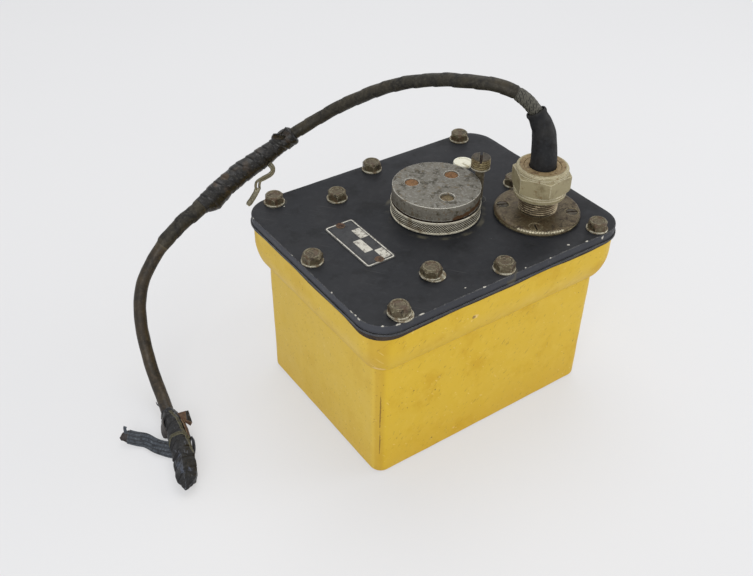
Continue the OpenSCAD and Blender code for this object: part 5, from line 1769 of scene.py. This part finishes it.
def make_gland_body():
    """The flange with its worn rim, and the threaded neck that the nut turns on."""
    x, y = GLAND_AT
    flange = TOP + 4.0
    threaded = 12.2  # stands for the thread's own radius
    root, rise = 11.6, 0.78  # the thread's least radius, and how far it stands out
    profile = raised(TOP, [(8.5, -10), (11.0, -10), (11.0, 0.5), (26.4, 0.5), (26.75, 0.8), (26.8, 1.5),
                           (26.5, 1.75), (26.7, 2.05), (26.95, 2.4), (26.8, 2.95), (26.3, 3.45),
                           (25.5, 3.75), (24.0, 3.85), (20.0, 3.92), (16.0, 3.96), (14.2, 4.0),
                           (12.6, 4.0)])
    under_thread = len(profile)
    sides = 120
    start = flange + 0.3
    heights = [start + 0.22 * k for k in range(int((TOP + 26.2 - start) / 0.22))]
    profile.extend((threaded, z) for z in heights)
    profile.extend(raised(TOP, [(11.9, 26.6), (11.4, 27.0), (8.7, 27.0), (8.5, 26.8)]))
    thread_from, thread_to = heights[0], heights[-1]

    def radius_at(radius, height, angle):
        if thread_from <= height <= thread_to and radius == threaded:
            turn = ((height - thread_from) / GLAND_PITCH - angle / TAU) % 1.0
            tooth = 1 - abs(turn - 0.5) * 2
            fade = smooth_step(height, thread_from, thread_from + 1.0)
            return root + rise * min(1.0, tooth * 1.25) * fade
        if radius > 20 and height > TOP + 0.6:
            return radius + 0.12 * lumps(around(angle, 20, height), 3.0)
        return radius

    shape = Shape()
    rings = turned(profile, sides, (x, y), radius_at)
    # the groove mark paints shade in the thread's roots
    depths = [(12.4 - math.hypot(px - x, py - y)) / rise if pz > flange + 0.2 else 0.0
              for ring in rings for px, py, pz in ring]
    shape.skin(rings, joined=True, marks={"groove": depths})
    shape.paint_rings(sides, lambda ring: under_thread <= ring <= under_thread + len(heights))
    piece = shape.piece("gland_flange", [FLANGE, THREAD], "box", ["gland_body"], "flange_metal", 40)
    pockets = Shape()
    depth = raised(TOP, [(SCREW_HOLE, -1), (SCREW_HOLE, 1.6), (3.86, 3.55), (4.1, 3.85), (4.3, 6)])
    for place in flange_screw_places():
        pockets.skin(turned(depth, 40, place))
    cut(piece, pockets)
    return piece


def make_gland_screws():
    """The flange's countersunk screws, one of them as pale as the flange."""
    shape = Shape()
    slots = Shape()
    profile = raised(TOP, [(1.9, -5), (1.9, 1.6), (3.7, 3.42), (3.65, 3.62), (3.2, 3.8), (1.8, 3.92),
                           (0.4, 3.95)])
    section = ((-0.55, 2.75), (0.55, 2.75), (0.62, 6.0), (-0.62, 6.0))
    for k, place in enumerate(flange_screw_places()):
        shape.skin(turned(profile, 40, place), paint=2 if k == 2 else 0)
        # the slots' walls take the dark groove finish: painted shade in the slots
        add_slot(slots, place, math.radians(45 + 90 * k + 20), 6, section, TOP, paint=1)
    piece = shape.piece("flange_screws", [DULL_BRASS, GROOVE, FLANGE], "box", ["gland_screws"],
                        "dark_brass", 40)
    cut(piece, slots)
    return piece


def make_gland_gasket():
    """The thin gasket that shows as a dark line under the flange."""
    shape = Shape()
    shape.skin(washer_rings(*GLAND_AT, TOP, 0.5, 27.4, 11.1, 4.0, 96), joined=True)
    piece = shape.piece("flange_gasket", RUBBER, "box", ["gland_gasket"], "black_rubber", 40)
    drill(piece, [(px, py, TOP - 2, TOP + 2, SCREW_HOLE) for px, py in flange_screw_places()], 24)
    return piece


def make_gland_nut():
    """The gland nut: a hexagon between round collars, with a stained cone at its mouth."""
    base = TOP + 15.3
    sides = 120
    hexed = 99.0  # stands for the hexagon's own radius
    profile = [(12.65, 0.3), (12.9, 0.0), (15.4, 0.0), (15.9, 0.4), (16.25, 1.5), (16.3, 2.6), (16.0, 2.85),
               (16.3, 3.1), (16.3, 4.2), (16.0, 4.6), (hexed, 4.75), (hexed, 5.1), (hexed, 5.6), (hexed, 6.4),
               (hexed, 8.0), (hexed, 12.0), (hexed, 14.1), (hexed, 14.9), (hexed, 15.4), (hexed, 15.75),
               (15.95, 15.9), (16.1, 16.2), (16.1, 16.9), (15.85, 17.1), (16.1, 17.3), (16.05, 18.3),
               (15.6, 19.1), (14.9, 19.55), (14.0, 19.6), (13.7, 19.5), (12.6, 19.35), (11.6, 19.1),
               (11.5, 18.9), (11.5, 15.0), (12.65, 14.8), (12.65, 8.0)]

    def radius_at(radius, height, angle):
        z = height - base
        if radius == hexed:
            crown = min(1.0, (z - 4.7) / 1.7, (15.8 - z) / 0.5)
            limit = 16.3 + 2.25 * math.sqrt(max(crown, 0.0))
            r = min(hexagon_radius(angle, NUT_FLATS, NUT_TURN), limit)
            return r + 0.05 * lumps(around(angle, 12, z), 3.0)
        if radius > 13.5:
            return radius + 0.09 * lumps(around(angle, 12, z), 2.5, 3.0)
        return radius

    rings = turned(raised(base, profile), sides, GLAND_AT, radius_at, NUT_TURN)
    shape = Shape()
    shape.skin(rings, joined=True)
    shape.paint_rings(sides, lambda ring: 28 <= ring <= 33)  # the cone and the mouth
    return shape.piece("gland_nut_body", [NUT, CONE], "gland_nut", ["gland_nut"], "nut_cream", 25)


def make_slip_ring():
    """The ring between the boot and the gland's mouth."""
    shape = Shape()
    profile = [(8.3, 27.2), (11.4, 27.2), (11.4, 34.0), (11.2, 34.25), (9.0, 34.5), (8.4, 34.3), (8.3, 33.9)]
    shape.skin(turned(raised(TOP, profile), 64, GLAND_AT), joined=True)
    return shape.piece("slip_ring", CONE, "gland_ring", ["gland_slip_ring"], "brown_nylon", 40)


make_gland_body()
make_gland_screws()
make_gland_gasket()
make_gland_nut()
make_slip_ring()

# ---------------------------------------------------------------- inner pieces, as the CAD made them

INNER_FINISHES = {
    "case_inserts": BRASS, "cap_liner": BRASS, "cap_seal": RUBBER, "socket_neck": BRASS,
    "socket_insulator": PHENOLIC, "socket_contacts": BRASS, "lock_bush": RUBBER, "gland_seal": RUBBER,
    "cable_tail": SHEATH, "cable_cores": WIRE, "terminal_board": PHENOLIC, "board_pillars": BRASS,
    "board_screws": WASHER, "board_terminals": BRASS, "fuse": GLASS_ROD, "fuse_clips": BRASS,
    "cell_jars": JAR, "cell_tops": JAR, "cell_plates": LEAD, "cell_separators": SEPARATOR,
    "cell_posts": LEAD, "cell_vents": VENT, "cell_links": LEAD, "post_nuts": BRASS, "cell_leads": WIRE,
    "base_pad": RUBBER, "side_packing": RUBBER, "top_packing": FELT,
}
for node, finish in INNER_FINISHES.items():
    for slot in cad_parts[node].material_slots:
        slot.material = finish

# ---------------------------------------------------------------- floor, backdrop and lamps


def seen_directly(tree):
    """1 where the camera or a reflection looks, and 0 for light that only falls on other things."""
    rays = put(tree, "ShaderNodeLightPath").outputs
    mirrored = maths(tree, "ADD", rays["Is Glossy Ray"], rays["Is Transmission Ray"])
    return maths(tree, "ADD", rays["Is Camera Ray"], mirrored, True)


def make_floor():
    """A wide pale floor, partly plain so that it runs into the backdrop."""
    mesh = bpy.data.meshes.new("floor")
    steps = 24
    reach = 6.0  # metres
    points, faces = [], []
    for i in range(steps + 1):
        for j in range(steps + 1):
            points.append((reach * (2 * i / steps - 1), reach * (2 * j / steps - 1), 0.0))
    for i in range(steps):
        for j in range(steps):
            a = i * (steps + 1) + j
            faces.append((a, a + steps + 1, a + steps + 2, a + 1))
    mesh.from_pydata(points, [], faces)
    finish, tree, shader, place = new_finish("floor")
    cloud = clouds(tree, place, 0.004, 2.0)
    base = mixed(tree, cloud, colour(233, 233, 234), colour(229, 229, 231))
    set_shader(tree, shader, Base_Color=base, Roughness=0.85, Specular_IOR_Level=0.2)
    plain = put(tree, "ShaderNodeEmission", {"Color": colour(229, 229, 230), "Strength": 1.0}).outputs[0]
    share = maths(tree, "MULTIPLY", seen_directly(tree), 0.6)
    mix = put(tree, "ShaderNodeMixShader", {0: share, 1: shader.outputs[0], 2: plain}).outputs[0]
    sink = next(node for node in tree.nodes if node.bl_idname == "ShaderNodeOutputMaterial")
    tree.links.new(mix, sink.inputs["Surface"])
    mesh.materials.append(finish)
    floor = new_object("floor", mesh)


def make_world():
    """A plain pale backdrop for the camera, and soft light for everything else."""
    world = bpy.data.worlds.new("world")
    bpy.context.scene.world = world
    world.use_nodes = True
    tree = world.node_tree
    tree.nodes.clear()
    seen = seen_directly(tree)
    light = put(tree, "ShaderNodeBackground", {"Color": (0.97, 0.98, 1.0, 1.0), "Strength": 0.62})
    plain = put(tree, "ShaderNodeBackground", {"Color": colour(229, 229, 231), "Strength": 1.0})
    mix = put(tree, "ShaderNodeMixShader", {0: seen, 1: light.outputs[0], 2: plain.outputs[0]})
    out = put(tree, "ShaderNodeOutputWorld")
    tree.links.new(mix.outputs[0], out.inputs["Surface"])


LAMPS_AIM = (0, 0, 0.08)  # metres


def make_lamp(name, at, size, power):
    """A soft round lamp that shines on the object; metres and watts."""
    data = bpy.data.lights.new(name, "AREA")
    data.shape = "DISK"
    data.size = size
    data.energy = power
    lamp = new_object(name, data)
    way = Vector(LAMPS_AIM) - Vector(at)
    lamp.matrix_world = Matrix.Translation(at) @ way.to_track_quat("-Z", "Y").to_matrix().to_4x4()


make_floor()
make_world()
bpy.context.scene.view_settings.view_transform = "Standard"
make_lamp("sky", (0.25, 0.45, 1.35), 1.1, 7.0)
make_lamp("front fill", (-0.9, -0.85, 0.8), 0.9, 7.0)
make_lamp("right fill", (0.95, -0.55, 0.55), 0.7, 3.4)
